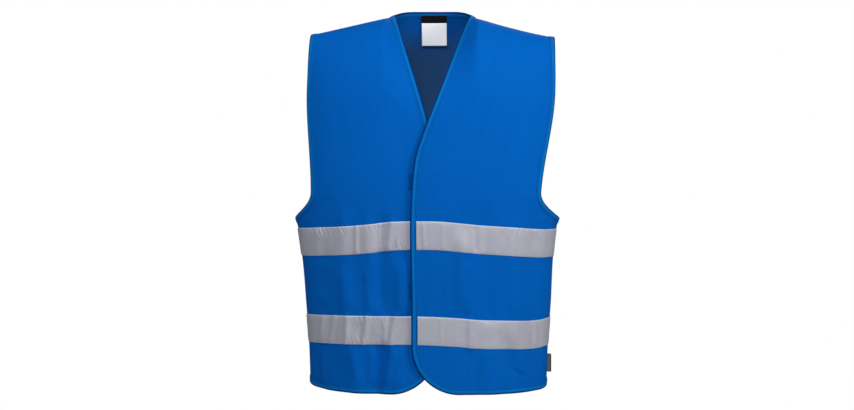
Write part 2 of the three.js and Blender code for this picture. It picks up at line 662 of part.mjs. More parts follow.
// A folded binding: one leaf on each face of the cells, joined round the bound edge. `edge` holds
// the knots of that edge.
function binding(cells, edge) {
  const bound = new Set(edge.map((here) => here.id));
  const isBound = ([from, to]) => bound.has(from.id) && bound.has(to.id);
  const rimEdges = rim(cells);
  const free = rimEdges.filter(isBound);
  const ways = new Map(edge.map((here) => [here.id, new THREE.Vector3()]));
  for (const [from, to] of free) {
    const way = to.point.clone().sub(from.point).normalize();
    ways.get(from.id).add(way);
    ways.get(to.id).add(way);
  }
  const near = WALL / 2 + GAP;
  const far = near + BINDING_LEAF;
  const corner = (here, height, reach) => {
    const at = lift(here, height);
    if (!bound.has(here.id)) return at;
    const out = ways.get(here.id).clone().cross(here.normal).normalize();
    return at.addScaledVector(out, reach);
  };
  const outer = (here, face) => corner(here, face * far, GAP + BINDING_LEAF);
  const inner = (here, face) => corner(here, face * near, GAP);
  const corners = [];
  for (const cell of cells) {
    corners.push(...quad(...cell.map((here) => outer(here, 1))));
    corners.push(...flipped(...cell.map((here) => inner(here, 1))));
    corners.push(...quad(...cell.map((here) => inner(here, -1))));
    corners.push(...flipped(...cell.map((here) => outer(here, -1))));
  }
  for (const [from, to] of rimEdges.filter((pair) => !isBound(pair))) {
    corners.push(...quad(inner(from, 1), inner(to, 1), outer(to, 1), outer(from, 1)));
    corners.push(...quad(outer(from, -1), outer(to, -1), inner(to, -1), inner(from, -1)));
  }
  for (const [from, to] of free) {
    corners.push(...quad(outer(from, -1), outer(to, -1), outer(to, 1), outer(from, 1)));
    corners.push(...flipped(inner(from, -1), inner(to, -1), inner(to, 1), inner(from, 1)));
  }
  const starts = new Set(free.map(([from]) => from.id));
  const ends = new Set(free.map(([, to]) => to.id));
  for (const [from, to] of free) {
    if (!ends.has(from.id)) {
      corners.push(...quad(outer(from, -1), outer(from, 1), inner(from, 1), inner(from, -1)));
    }
    if (!starts.has(to.id)) {
      corners.push(...quad(outer(to, 1), outer(to, -1), inner(to, -1), inner(to, 1)));
    }
  }
  return solid(corners);
}

const group = new THREE.Group();

function add(name, geometry, colour, roughness = 0.9) {
  geometry.computeVertexNormals();
  const material = new THREE.MeshStandardMaterial({ color: colour, roughness, metalness: 0 });
  const mesh = new THREE.Mesh(geometry, material);
  mesh.name = name;
  group.add(mesh);
}

// Tape sewn on the outer face of rows of cloth, clear of the binding that it runs up to.
function addTapes(name, rows, flip, bound) {
  for (const [level, first] of [['upper', UPPER_TAPE_ROW], ['lower', LOWER_TAPE_ROW]]) {
    const strip = rows.slice(first, first + TAPE_ROWS + 1).map((row) => {
      const kept = row.slice(1);
      const share = GAP / kept[0].point.distanceTo(kept[1].point);
      if (bound) kept[0] = between(kept[0], kept[1], share);
      return kept;
    });
    const low = WALL / 2 + GAP;
    const geometry = wall(cellsOf(strip, flip), low, low + TAPE_THICKNESS);
    add(`${level}_tape_${name}`, geometry, colours.tape, 0.55);
  }
}

// A hook or loop patch beside a panel's bound front edge, on its outer (+1) or inner (-1) face.
function addPatch(name, panel, below, length, face) {
  const flip = panel.face * panel.side < 0;
  const rows = steps(PATCH_ROWS).map((part) => {
    const z = PATCH_HEIGHT * (0.5 - part) - below;
    const start = frontEdge(z) + BINDING_WIDTH + 2 * GAP;
    return steps(PATCH_COLUMNS).map((share) =>
      knotAt(panel, panel.side * (start + share * length), z));
  });
  const near = face * (WALL / 2 + GAP);
  const far = near + face * PATCH_THICKNESS;
  add(name, wall(cellsOf(rows, flip), Math.min(near, far), Math.max(near, far)), colours.patch, 0.95);
}

// A piece of the size label inside the back neck, between two depths below the label's top.
function addLabel(name, from, to, colour) {
  const top = shoulderLine(0).z - BINDING_WIDTH + LABEL_TUCK;
  const rows = steps(LABEL_ROWS).map((part) => {
    const z = top - lerp(from, to, part);
    return steps(LABEL_COLUMNS).map((share) =>
      knotAt(panels.back, LABEL_WIDTH * (share - 0.5), z));
  });
  const near = -WALL / 2 - BINDING_LEAF - 2 * GAP;
  add(name, wall(cellsOf(rows, false), near - LABEL_THICKNESS, near), colour, 0.7);
}

// The bare tab: a folded strip that stands out of the left side seam, rounded at its top corner.
function addTab(name) {
  const foot = TAB_LIFT - LENGTH;
  const top = foot + TAB_HEIGHT;
  const root = (z) => {
    const here = knotAtHeight(panels.left, seamAngle(panels.left), z);
    return here.point.x + WALL / 2 + GAP;
  };
  const tip = root(foot) + TAB_REACH;
  const shape = new THREE.Shape();
  shape.moveTo(root(foot), foot);
  shape.lineTo(tip, foot);
  shape.lineTo(tip, top - TAB_ROUND);
  shape.quadraticCurveTo(tip, top, tip - TAB_ROUND, top);
  shape.lineTo(root(top), top);
  const geometry = new THREE.ExtrudeGeometry(shape, {
    depth: TAB_THICKNESS,
    bevelEnabled: false,
    curveSegments: 4,
  });
  geometry.rotateX(Math.PI / 2);
  geometry.translate(0, TAB_THICKNESS / 2, 0);
  add(name, geometry, colours.tab);
}

// Two armhole ends that meet at a seam become one, halfway between them.
function meet(front, back) {
  knots += 1;
  return {
    id: knots,
    point: front.point.clone().lerp(back.point, 0.5),
    normal: front.normal.clone().add(back.normal).normalize(),
  };
}

// The binding of an armhole is one ring: down the front panel's edge and up the back panel's.
function addArmholeBinding(name, side, front, back) {
  const pair = (rows, edge, line) =>
    rows.slice(0, ARMPIT_ROW + 1).map((row) => [row.at(edge), row.at(line)]);
  const down = pair(front, -1, -2);
  const up = side > 0 ? pair(back, -1, -2).reverse() : pair(back, 0, 1).reverse();
  const armpit = down.pop().map((here, i) => meet(here, up[0][i]));
  const shoulder = down.shift().map((here, i) => meet(here, up[up.length - 1][i]));
  const ring = [shoulder, ...down, armpit, ...up.slice(1, -1)];
  ring.push(shoulder);
  add(name, binding(cellsOf(ring, side < 0), ring.map(([edge]) => edge)), colours.binding);
}

const left = frontRows(panels.left);
const right = frontRows(panels.right);
const back = backRows();

for (const [name, rows, flip] of [['right', right, false], ['left', left, true]]) {
  add(`front_${name}_panel`, wall(cellsOf(rows, flip), -WALL / 2, WALL / 2), colours.knit);
  const strip = cellsOf(rows, flip, (row, column) => column === 0 || row === HEM_ROW - 1);
  const edge = [...rows.map((row) => row[0]), ...rows[HEM_ROW].slice(1)];
  add(`front_${name}_binding`, binding(strip, edge), colours.binding);
  addTapes(`front_${name}`, rows, flip, true);
}

add('back_panel', wall(cellsOf(back, false), -WALL / 2, WALL / 2), colours.knit);
addTapes('back', back, false, false);

const neckTo = NECK_FROM + NECK_COLUMNS;
const isNeck = (row, column) => row === 0 && column >= NECK_FROM && column < neckTo;
const neckStrip = cellsOf(back, false, isNeck);
add('back_neck_binding', binding(neckStrip, back[0].slice(NECK_FROM, neckTo + 1)), colours.binding);
const hemStrip = cellsOf(back, false, (row) => row === HEM_ROW - 1);
add('back_hem_binding', binding(hemStrip, back[HEM_ROW].slice(1)), colours.binding);

addArmholeBinding('left_armhole_binding', 1, left, back);
addArmholeBinding('right_armhole_binding', -1, right, back);

for (const [level, below] of [['upper', UPPER_PATCH], ['lower', LOWER_PATCH]]) {
  addPatch(`${level}_loop_patch`, panels.right, below, LOOP_LENGTH, 1);
  addPatch(`${level}_hook_patch`, panels.left, below, HOOK_LENGTH, -1);
}

addLabel('label_header', 0, HEADER_HEIGHT, colours.header);
addLabel('label_card', HEADER_HEIGHT + GAP, HEADER_HEIGHT + GAP + CARD_HEIGHT, colours.card);
addTab('side_tab');

export default group;
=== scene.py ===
import math

import bpy
import numpy as np
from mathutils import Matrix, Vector


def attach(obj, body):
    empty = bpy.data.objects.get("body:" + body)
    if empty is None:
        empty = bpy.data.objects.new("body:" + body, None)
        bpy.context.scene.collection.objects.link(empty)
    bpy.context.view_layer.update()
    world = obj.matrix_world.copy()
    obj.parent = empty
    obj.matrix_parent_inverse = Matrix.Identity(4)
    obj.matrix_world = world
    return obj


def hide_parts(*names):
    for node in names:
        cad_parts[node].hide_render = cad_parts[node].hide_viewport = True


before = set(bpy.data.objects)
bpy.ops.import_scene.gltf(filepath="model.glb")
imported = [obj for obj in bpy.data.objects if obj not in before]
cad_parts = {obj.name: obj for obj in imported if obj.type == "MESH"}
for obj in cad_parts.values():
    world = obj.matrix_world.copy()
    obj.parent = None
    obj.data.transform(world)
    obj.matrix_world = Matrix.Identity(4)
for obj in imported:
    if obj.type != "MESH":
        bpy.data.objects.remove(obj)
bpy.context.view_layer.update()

# Studio
# A photographer's table for clothing: the vest stands clear of a pale floor, in soft even light
# from large lamps: a strong one above the camera, one on its right, a weaker one on its left and
# one behind the vest.
scene = bpy.context.scene
scene.view_settings.view_transform = "Standard"
scene.view_settings.look = "None"

CAMERA_AWAY = 2.8
CAMERA_TURN = math.radians(3)
CAMERA_HEIGHT = -0.3446
camera_data = bpy.data.cameras.new("camera")
camera_data.lens = 64.73
camera_data.sensor_width = 36
camera = bpy.data.objects.new("camera", camera_data)
camera.location = (
    math.sin(CAMERA_TURN) * CAMERA_AWAY,
    -math.cos(CAMERA_TURN) * CAMERA_AWAY,
    CAMERA_HEIGHT,
)
camera.rotation_euler = (math.radians(90), 0, CAMERA_TURN)
scene.collection.objects.link(camera)
scene.camera = camera


def add(tree, kind, settings=(), **sockets):
    """A node with its properties set, and each named socket given a value or linked from another."""
    node = tree.nodes.new(kind)
    for key, value in dict(settings).items():
        setattr(node, key, value)
    for key, value in sockets.items():
        socket = node.inputs[key.replace("_", " ")]
        if isinstance(value, bpy.types.NodeSocket):
            tree.links.new(value, socket)
        else:
            socket.default_value = value
    return node


world = bpy.data.worlds.new("studio")
scene.world = world
world.use_nodes = True
sky = world.node_tree
sky.nodes.clear()
seen = add(sky, "ShaderNodeLightPath").outputs["Is Camera Ray"]
glow = add(sky, "ShaderNodeBackground", Color=(0.9, 0.95, 1, 1), Strength=0.1)
bright = add(sky, "ShaderNodeBackground", Color=(1, 1, 1, 1), Strength=1.0)
choose = add(sky, "ShaderNodeMixShader", Fac=seen)
sky.links.new(glow.outputs["Background"], choose.inputs[1])
sky.links.new(bright.outputs["Background"], choose.inputs[2])
add(sky, "ShaderNodeOutputWorld", Surface=choose.outputs["Shader"])


def lamp(name, place, aim, size, power, colour):
    """A square area lamp at `place`, turned towards `aim`."""
    data = bpy.data.lights.new(name, "AREA")
    data.size = size
    data.energy = power
    data.color = colour
    made = bpy.data.objects.new(name, data)
    made.location = place
    made.rotation_euler = (Vector(aim) - Vector(place)).to_track_quat("-Z", "Y").to_euler()
    scene.collection.objects.link(made)


lamp("key_lamp", (1.25, -0.9, 0.3), (0, 0, -0.3), 0.5, 11.5, (1, 0.99, 0.97))
lamp("front_lamp", (-0.1, -1.7, 0.8), (0, 0, -0.1), 0.5, 13.5, (1, 1, 1))
lamp("top_lamp", (-0.9, -0.7, 0.8), (0, 0, -0.1), 0.6, 5.2, (1, 1, 1))
lamp("back_lamp", (0.5, 2.2, 0.9), (0, 0, -0.3), 1.2, 26, (1, 1, 1))


def new_material(name, roughness, colour=None):
    """A material with one Principled shader, its node tree and the shader."""
    made = bpy.data.materials.new(name)
    made.use_nodes = True
    tree = made.node_tree
    shader = tree.nodes["Principled BSDF"]
    shader.inputs["Roughness"].default_value = roughness
    shader.inputs["Specular IOR Level"].default_value = 0.04
    if colour:
        shader.inputs["Base Color"].default_value = (*colour, 1)
    return made, tree, shader


def spread(tree, value, low, high, start=0.0, end=1.0, curve="LINEAR"):
    """A value that goes from `start` to `end` as another goes from `low` to `high`."""
    node = add(tree, "ShaderNodeMapRange", {"interpolation_type": curve}, Value=value,
               From_Min=low, From_Max=high, To_Min=start, To_Max=end)
    return node.outputs["Result"]


def blend(tree, mask, colour, other):
    """One colour where a mask is 0 and the other where it is 1, each a triple or a socket."""
    pair = [(*c, 1) if isinstance(c, tuple) else c for c in (colour, other)]
    node = add(tree, "ShaderNodeMix", {"data_type": "RGBA"}, Factor=mask, A=pair[0], B=pair[1])
    return node.outputs["Result"]


def noise(tree, where, scale, detail=2):
    """Cloudy noise over a vector, from 0 to 1."""
    return add(tree, "ShaderNodeTexNoise", Vector=where, Scale=scale, Detail=detail).outputs["Fac"]


def polar_disc(radius, height, rings=24, turns=96):
    """Rings of points at even steps of radius and angle, joined by quads round a central fan."""
    r = np.linspace(radius / rings, radius, rings)[:, None]
    a = np.linspace(0, 2 * np.pi, turns, endpoint=False)[None, :]
    ring = np.stack([r * np.cos(a), r * np.sin(a), np.full((rings, turns), height)], -1)
    points = np.concatenate([[[0, 0, height]], ring.reshape(-1, 3)])
    i, j = np.meshgrid(np.arange(rings - 1), np.arange(turns), indexing="ij")
    here, aside = 1 + i * turns + j, 1 + i * turns + (j + 1) % turns
    quads = np.stack([here, here + turns, aside + turns, aside], -1).reshape(-1, 4)
    fan = np.stack([np.zeros(turns, int), 1 + np.arange(turns), 1 + (np.arange(turns) + 1) % turns], -1)
    return points, [*quads.tolist(), *fan.tolist()]


FLOOR_HEIGHT = -1.2
FLOOR_RADIUS = 1.5
floor_mesh = bpy.data.meshes.new("floor")
floor_points, floor_faces = polar_disc(FLOOR_RADIUS, FLOOR_HEIGHT)
floor_mesh.from_pydata(floor_points.tolist(), [], floor_faces)
floor = bpy.data.objects.new("floor", floor_mesh)
scene.collection.objects.link(floor)
floor_material, tree, shader = new_material("floor_paper", 0.9)
grain = noise(tree, add(tree, "ShaderNodeTexCoord").outputs["Object"], 60)
tree.links.new(spread(tree, grain, 0, 1, 0.84, 0.88), shader.inputs["Base Color"])
floor_mesh.materials.append(floor_material)

# Front panels
# The two fronts, of royal blue warp-knit polyester about half a millimetre thick. Each is cut flat
# and sewn to the back at the shoulder and the side, with a straight lap and a rounded corner.
LENGTH = 675.0
RIGHT_HEM_LIFT = 13.0
LEFT_HEM_LIFT = 9.0
NECK_HALF = 69.0
SHOULDER_HALF = 221.0
RIGHT_SHOULDER_DROP = 34.0
LEFT_SHOULDER_DROP = 41.0
LEFT_SHOULDER_SAG = 4.0
ARMPIT_HALF = 239.0
HEM_HALF = 214.0
FRONT_DEPTH = 126.0
BACK_DEPTH = 118.0
ARMHOLE_DEPTH = 368.0
ARMHOLE_ROUND = 45.0
ARMHOLE_CUT = {-1: 18.0, 1: 17.0}
CUT_FROM, CUT_TO = 0.35, 1.05
V_DEPTH = 196.0
V_EASE = 10.0
LAP = 45.0
CORNER_RADIUS = 84.0
BACK_NECK_SET = 58.0
BACK_NECK_RISE = 14.0
SHOULDER_ROLL = 150.0
NECK_ROLL = 215.0
NECK_TURN = math.pi / 3
NECK_SPREAD = 16.0
NECK_EASE = 20.0
ARM_SPREAD = 26.0
SQUARENESS = 2.3
TOP_LEAN, LEAN_FROM, LEAN_DEPTH = 10.0, 100.0, 400.0
HEM_LEAN = 2.5
BINDING_WIDTH = 9.5
TAPE_WIDTH = 50.0
UPPER_TAPE = ARMHOLE_DEPTH + 5
LOWER_TAPE = LENGTH - 86 - TAPE_WIDTH
TAPE_DROOP = 14.5
LAP_STEP = 4.1
LAP_FADE = 60.0
LAP_CURL, LAP_LIFT = 9.0, 1.8
SIDE_SEAM = math.pi / 2

SIDE_LINE = ((0, 0.06, 0.16, 0.3, 0.5, 0.7, 1), (0, 0.18, 0.36, 0.52, 0.67, 0.86, 1))
FRONT_LINE = ((0, 0.25, 0.45, 0.62, 0.8, 1), (0.9, 0.95, 1, 0.99, 0.96, 0.98))
BACK_LINE = ((0, 0.25, 0.45, 0.65, 0.85, 1), (0.94, 1, 0.98, 0.92, 0.95, 0.99))
# How far each tape droops on the right (-1) and the left (1), as shares of TAPE_DROOP, by the share
# of the way from the lap to the side seam.
DROOP_SHARES = (0, 0.1, 0.2, 0.3, 0.45, 0.65, 0.8, 1)
UPPER_DROOP = {
    -1: (0, 0, 0.12, 0.44, 0.7, 0.83, 0.87, 0.9),
    1: (0, 0.03, 0.26, 0.51, 0.75, 1, 0.98, 0.94),
}
LOWER_DROOP = {
    -1: (0, 0, 0.01, 0.02, 0.03, 0.1, 0.15, 0.21),
    1: (0, 0.08, 0.23, 0.46, 0.59, 0.71, 0.55, 0.42),
}
# Soft folds: across (share of half the width), top and foot (shares of the length), depth, half
# width and sideways lean, in mm.
FOLDS = {
    -1: np.array([
        (-0.85, 0.58, 0.78, -5, 12, 4),
        (-0.35, 0.52, 0.8, -6, 13, -4),
        (-0.36, 0.84, 1.05, -7.5, 12, -12),
        (-0.58, 0.82, 1.05, 4, 14, 4),
        (-0.22, 0.86, 1.05, 3, 12, 4),
        (-0.88, 0.84, 1.05, -3, 12, 0),
        (-0.45, 0.5, 0.72, 3, 13, 4),
        (-0.66, 0.5, 0.95, 3, 14, -4),
        (0.31, 0.56, 0.8, 4.5, 12, -2),
        (0.5, 0.5, 0.84, -3.5, 14, 6),
        (0.72, 0.52, 0.9, 3, 15, 4),
        (0.62, 0.83, 1.02, -6, 12, 42),
        (0.5, 0.86, 1.05, 4, 14, 10),
        (0.9, 0.55, 1.05, -4, 14, -3),
    ]),
    1: np.array([
        (-0.82, 0.52, 1.05, -5, 16, 4),
        (-0.5, 0.6, 1.05, 4, 22, -6),
        (-0.2, 0.5, 1.05, -4, 20, -8),
        (0.12, 0.55, 1.05, 3.5, 20, 4),
        (0.42, 0.6, 1.05, -4.5, 20, 8),
        (0.8, 0.52, 1.05, -5, 16, -4),
    ]),
}
FOLD_FADE = 38.0
# Narrow creases in the front's tapes and in the cloth between and below them: where each starts and
# ends (x, z), its height and its half width, in mm.
CREASES = np.array([
    (-188, -385, -188, -432, 3, 9), (-117, -379, -118, -430, 2.1, 3.6), (-78, -376, -79, -424, 1.1, 2.6),
    (-53, -370, -63, -424, 3.8, 5.4), (-44, -398, -46, -422, 1.1, 2.4), (-1, -372, 2, -422, 1.2, 3.2),
    (34, -376, 33, -421, 1, 4), (91, -381, 91, -427, -2.6, 6), (204, -389, 203, -435, 2, 13),
    (-182, -542, -185, -589, 3, 6), (-159, -541, -168, -588, 2.7, 5), (-136, -536, -137, -592, 3, 4.4),
    (-100, -536, -107, -590, 3.4, 5), (-70, -541, -70, -588, 1.6, 4), (-50, -533, -61, -598, 4.2, 6),
    (28, -541, 27, -587, 0.6, 3), (79, -540, 79, -598, 3.2, 5.5), (194, -550, 194, -596, 1.3, 3.4),
    (131, -609, 179, -650, -3, 7), (145, -508, 158, -534, 1.2, 5), (-129, -600, -118, -652, 2, 8),
    (-38, -448, -42, -534, 6, 13), (-142, -462, -134, -530, 4, 15), (76, -448, 74, -532, 3, 8),
    (124, -606, 170, -640, 2.5, 6), (-174, -445, -180, -518, 5, 10), (-99, -462, -97, -528, 3, 8),
    (-55, -600, -68, -655, 4, 8), (-92, -600, -94, -655, 3, 7), (-184, -604, -184, -658, 4, 8),
])
CREASE_FADE = 12.0


def ease(value, low, high):
    """0 below `low`, 1 above `high`, and 3t^2 - 2t^3 between them."""
    t = np.clip((value - low) / (high - low), 0, 1)
    return t * t * (3 - 2 * t)


def through(table, at):
    """Cubic curve through a table's points whose slope at each is that between its neighbours."""
    keys, values = (np.array(row, float) for row in table)
    place = np.clip(at, keys[0], keys[-1])
    right = np.maximum(1, np.searchsorted(keys, place))
    before, left, after = np.maximum(right - 2, 0), right - 1, np.minimum(right + 1, len(keys) - 1)
    span = keys[right] - keys[left]
    t = (place - keys[left]) / span
    rise = values[right] - values[left]
    leave = (values[right] - values[before]) / (keys[right] - keys[before]) * span
    arrive = (values[after] - values[left]) / (keys[after] - keys[left]) * span
    bend = 3 * rise - 2 * leave - arrive
    return values[left] + t * (leave + t * (bend + t * (leave + arrive - 2 * rise)))


def half_width(z):
    """Half the body's width: the side seam below the armpit, the line over the arm above it."""
    below = -ARMHOLE_DEPTH - z
    seam = ARMPIT_HALF + (HEM_HALF - ARMPIT_HALF) * through(SIDE_LINE, below / (LENGTH - ARMHOLE_DEPTH))
    over = ARMPIT_HALF + (SHOULDER_HALF + ARM_SPREAD - ARMPIT_HALF) * ease(-below, 0, ARMHOLE_ROUND)
    return np.where(below > 0, seam, over)


def depth(face, z):
    """How far the chest (-1) or the back (1) stands out from the side seams."""
    if face < 0:
        return FRONT_DEPTH * through(FRONT_LINE, -z / LENGTH)
    return BACK_DEPTH * through(BACK_LINE, -z / LENGTH)


def shoulder_line(x):
    """The line over the shoulders and round the neck: y, z, height of the roll and starting turn."""
    reach = np.minimum(1, np.abs(x) / (NECK_HALF + NECK_SPREAD))
    neck = (1 - reach**3) ** 1.5
    rise = BACK_NECK_RISE * (1 - reach**5) ** 2
    past = np.abs(x) - NECK_HALF
    share = (past + np.hypot(past, NECK_EASE)) / 2 / (SHOULDER_HALF - NECK_HALF)
    leftward = (1 + x / SHOULDER_HALF) / 2
    drop = RIGHT_SHOULDER_DROP + (LEFT_SHOULDER_DROP - RIGHT_SHOULDER_DROP) * leftward
    sag = np.where(x > 0, 4 * LEFT_SHOULDER_SAG * share * (1 - share), 0)
    roll = SHOULDER_ROLL + (NECK_ROLL - SHOULDER_ROLL) * neck
    return BACK_NECK_SET * neck, rise - drop * share - sag, roll, NECK_TURN * neck


def roundness(angle):
    """Reach of the squared-off oval |sin|^n + |cos|^n = 1 in a direction."""
    return (np.abs(np.sin(angle)) ** SQUARENESS + np.abs(np.cos(angle)) ** SQUARENESS) ** (-1 / SQUARENESS)


def over_arm(angle):
    """Distance from the middle of cloth in a direction, at the body's widest."""
    return (SHOULDER_HALF + ARM_SPREAD) * roundness(angle) * np.sin(angle)


def top_run(x):
    """Run at the shoulder line. A run is the way down the cloth from the foot of the roll."""
    _, _, roll, start = shoulder_line(x)
    return (start - np.pi / 2) * roll / np.cos(start)


def height_at(x, run):
    """Height after a run: on the roll the drop is 1 - cos(turn), below it the drop is the run."""
    _, z, roll, start = shoulder_line(x)
    turn = np.pi / 2 + np.minimum(run, 0) * np.cos(start) / roll
    return z - roll * (1 - np.cos(turn) / np.cos(start)) - np.maximum(run, 0)


def run_at(x, z):
    """The run that reaches a height, the inverse of height_at."""
    _, top, roll, start = shoulder_line(x)
    share = (top - z) / roll
    turn = np.arccos(np.clip(np.cos(start) * (1 - share), -1, 1))
    return np.where(share >= 1, roll * (share - 1), (turn - np.pi / 2) * roll / np.cos(start))


def angle_at(x, z):
    """Direction, seen from the body's axis, of the cloth at x from the middle and at height z."""
    share = np.minimum(1, (np.abs(x) / half_width(z)) ** SQUARENESS)
    return np.sign(x) * np.arctan2(share ** (1 / SQUARENESS), (1 - share) ** (1 / SQUARENESS))


def fold_stand(face, x, z):
    """Sum of ridges and hollows exp(-(off/width)^2), each fading in below its top and out at its foot."""
    total = 0
    for across, top, foot, deep, width, lean in FOLDS[face]:
        top, foot = -top * LENGTH, -foot * LENGTH
        off = (x - across * HEM_HALF - lean * (top - z) / (top - foot)) / width
        fade = ease(top - z, 0, FOLD_FADE) * ease(z - foot, 0, FOLD_FADE)
        total = total + deep * fade * np.exp(-off * off)
    for from_x, top, to_x, foot, deep, width in CREASES if face < 0 else ():
        off = (x - from_x - (to_x - from_x) * (top - z) / (top - foot)) / width
        soft = max(CREASE_FADE, 2.4 * width)
        fade = ease(top + soft / 2 - z, 0, soft) * ease(z - foot + soft / 2, 0, soft)
        total = total + deep * fade * np.exp(-off * off)
    return total


def cloth(face, side, angle, run):
    """Middle of the cloth, in mm, for face -1 front or 1 back and side -1 right or 1 left."""
    over = over_arm(angle)
    line_y, _, roll, start = shoulder_line(over)
    z = height_at(over, run)
    width, forward, reach = half_width(z), depth(face, z), roundness(angle)
    x = width * reach * np.sin(angle)
    turn = np.pi / 2 + np.minimum(run, 0) * np.cos(start) / roll
    rolled = (np.sin(turn) - np.sin(start)) / (1 - np.sin(start))
    y = line_y + (face * forward * reach * np.cos(angle) - line_y) * rolled
    stand = fold_stand(face, x, z)
    if face < 0:
        past = np.maximum(0, side * x - LAP / 2 - LAP_STEP)
        down = ease(-z, V_DEPTH - 2 * LAP_FADE, V_DEPTH - BINDING_WIDTH)
        stand = stand + side * LAP_STEP / 2 * (1 - ease(past, 0, LAP_FADE)) * down
        curl = np.exp(-((np.maximum(0, x + LAP / 2) / LAP_CURL) ** 2)) * down
        stand = stand + LAP_LIFT * curl * (side > 0)
    out_x, out_y = np.sin(angle) / width, face * np.cos(angle) / forward
    scale = stand / np.hypot(out_x, out_y)
    lean = TOP_LEAN * (1 - ease(-z, LEAN_FROM, LEAN_DEPTH)) + HEM_LEAN * ease(-z, UPPER_TAPE, LOWER_TAPE)
    return np.stack([x + lean + out_x * scale, y + out_y * scale, z], -1)


def ways(face, side, angle, run):
    """Point of the cloth, its slopes along angle and run, and its outward unit normal."""
    step = 0.002
    point = cloth(face, side, angle, run)
    along = (cloth(face, side, angle + step, run) - cloth(face, side, angle - step, run)) / (2 * step)
    down = (cloth(face, side, angle, run + step) - point) / step
    normal = np.cross(along, down) * face
    return point, along, down, normal / np.linalg.norm(normal, axis=-1, keepdims=True)


def roll_run(x, share):
    """Run at a share of the way down the shoulder roll, from the seam to the roll's foot."""
    return top_run(x) * (1 - share)


def front_edge(z):
    """Front edge from the middle: the V, straight down the lap, then round the corner."""
    vee = NECK_HALF * (1 + np.minimum(0, z) / V_DEPTH)
    into = np.maximum(0, CORNER_RADIUS - LENGTH - z)
    corner = CORNER_RADIUS - np.sqrt(np.maximum(0, CORNER_RADIUS**2 - into**2))
    return (vee - LAP / 2 + np.hypot(vee + LAP / 2, V_EASE)) / 2 + corner


def armhole_edge(face, side, z):
    """Armhole edge above the round: the shoulder's half width, cut in on an S curve."""
    tip = LEFT_SHOULDER_DROP if side > 0 else RIGHT_SHOULDER_DROP
    share = (-z - tip) / (ARMHOLE_DEPTH - ARMHOLE_ROUND - tip)
    return side * (SHOULDER_HALF - ARMHOLE_CUT[face] * ease(share, CUT_FROM, CUT_TO))


def on_roll(edge, share):
    """Where an edge crosses the rows of the roll: heights settled by repeated passes."""
    z = np.zeros_like(share)
    for _ in range(30):
        z = height_at(edge(z), roll_run(edge(z), share))
    angle = angle_at(edge(z), z)
    return angle, run_at(over_arm(angle), z), z


ROLL_ROWS, STRAIGHT_ROWS, ROUND_ROWS, GAP_ROWS = 40, 24, 40, 4
TAPE_ROWS, MIDDLE_ROWS, HEM_ROWS = 16, 36, 28
ARMPIT_ROW = ROLL_ROWS + STRAIGHT_ROWS + ROUND_ROWS


def armhole_line(face, side):
    """(angle, run) of the armhole edge: down the roll and the side, then an ellipse to the armpit."""
    edge = lambda z: armhole_edge(face, side, z)
    angle, run, z = on_roll(edge, np.linspace(0, 1, ROLL_ROWS + 1))
    foot = ARMHOLE_ROUND - ARMHOLE_DEPTH
    z = np.linspace(z[-1], foot, STRAIGHT_ROWS + 1)[1:]
    straight = angle_at(edge(z), z)
    turn = np.linspace(0, np.pi / 2, ROUND_ROWS + 1)[1:]
    first = roundness(straight[-1]) * np.cos(straight[-1])
    last = roundness(SIDE_SEAM) * np.cos(SIDE_SEAM)
    forward = last + (first - last) * np.cos(turn)
    under = side * np.arctan2((1 - forward**SQUARENESS) ** (1 / SQUARENESS), forward)
    z = np.concatenate([z, foot - ARMHOLE_ROUND * np.sin(turn)])
    rest = np.concatenate([straight, under])
    return np.concatenate([angle, rest]), np.concatenate([run, run_at(over_arm(rest), z)])


def tape_line(below, side, share):
    """Height of a line `below` the neck, which droops like the upper tape or the lower one or, between
    the two, like a blend of both."""
    low = ease(below, UPPER_TAPE + TAPE_WIDTH, LOWER_TAPE)
    droops = []
    for table in (UPPER_DROOP, LOWER_DROOP):
        right, left = (through((DROOP_SHARES, table[hand]), share) for hand in (-1, 1))
        droops.append(np.where(side > 0, left, right))
    return -below - TAPE_DROOP * (droops[0] + (droops[1] - droops[0]) * low)


def hem_line(side, share):
    """Height of the hem, which lifts by share^2 on the right and by share^4 on the left."""
    return np.where(side > 0, LEFT_HEM_LIFT * share**4, RIGHT_HEM_LIFT * share**2) - LENGTH


TAPE_DEPTHS = np.concatenate([
    np.linspace(UPPER_TAPE, UPPER_TAPE + TAPE_WIDTH, TAPE_ROWS + 1),
    np.linspace(UPPER_TAPE + TAPE_WIDTH, LOWER_TAPE, MIDDLE_ROWS + 1)[1:],
    np.linspace(LOWER_TAPE, LOWER_TAPE + TAPE_WIDTH, TAPE_ROWS + 1)[1:],
])


def front_line(side):
    """(angle, run) of a front edge from the neck point to the middle of the bottom corner."""
    edge = lambda z: side * front_edge(z)
    angle, run, z = on_roll(edge, np.linspace(0, 1, ROLL_ROWS + 1))
    chest = np.linspace(z[-1], BINDING_WIDTH - UPPER_TAPE, STRAIGHT_ROWS + ROUND_ROWS + 1)[1:]
    gap = np.linspace(chest[-1], -UPPER_TAPE, GAP_ROWS + 1)[1:-1]
    turn = np.linspace(0, np.pi / 4, HEM_ROWS + 1)
    corner = CORNER_RADIUS * (1 - np.sin(turn[1:])) - LENGTH
    rest = np.concatenate([chest, gap, -TAPE_DEPTHS, corner])
    low = angle_at(edge(rest), rest)
    return np.concatenate([angle, low]), np.concatenate([run, run_at(over_arm(low), rest)])


def distance_along(points):
    """Distance walked along a path to each of its points, in mm."""
    return np.concatenate([[0], np.cumsum(np.linalg.norm(np.diff(points, axis=0), axis=1))])


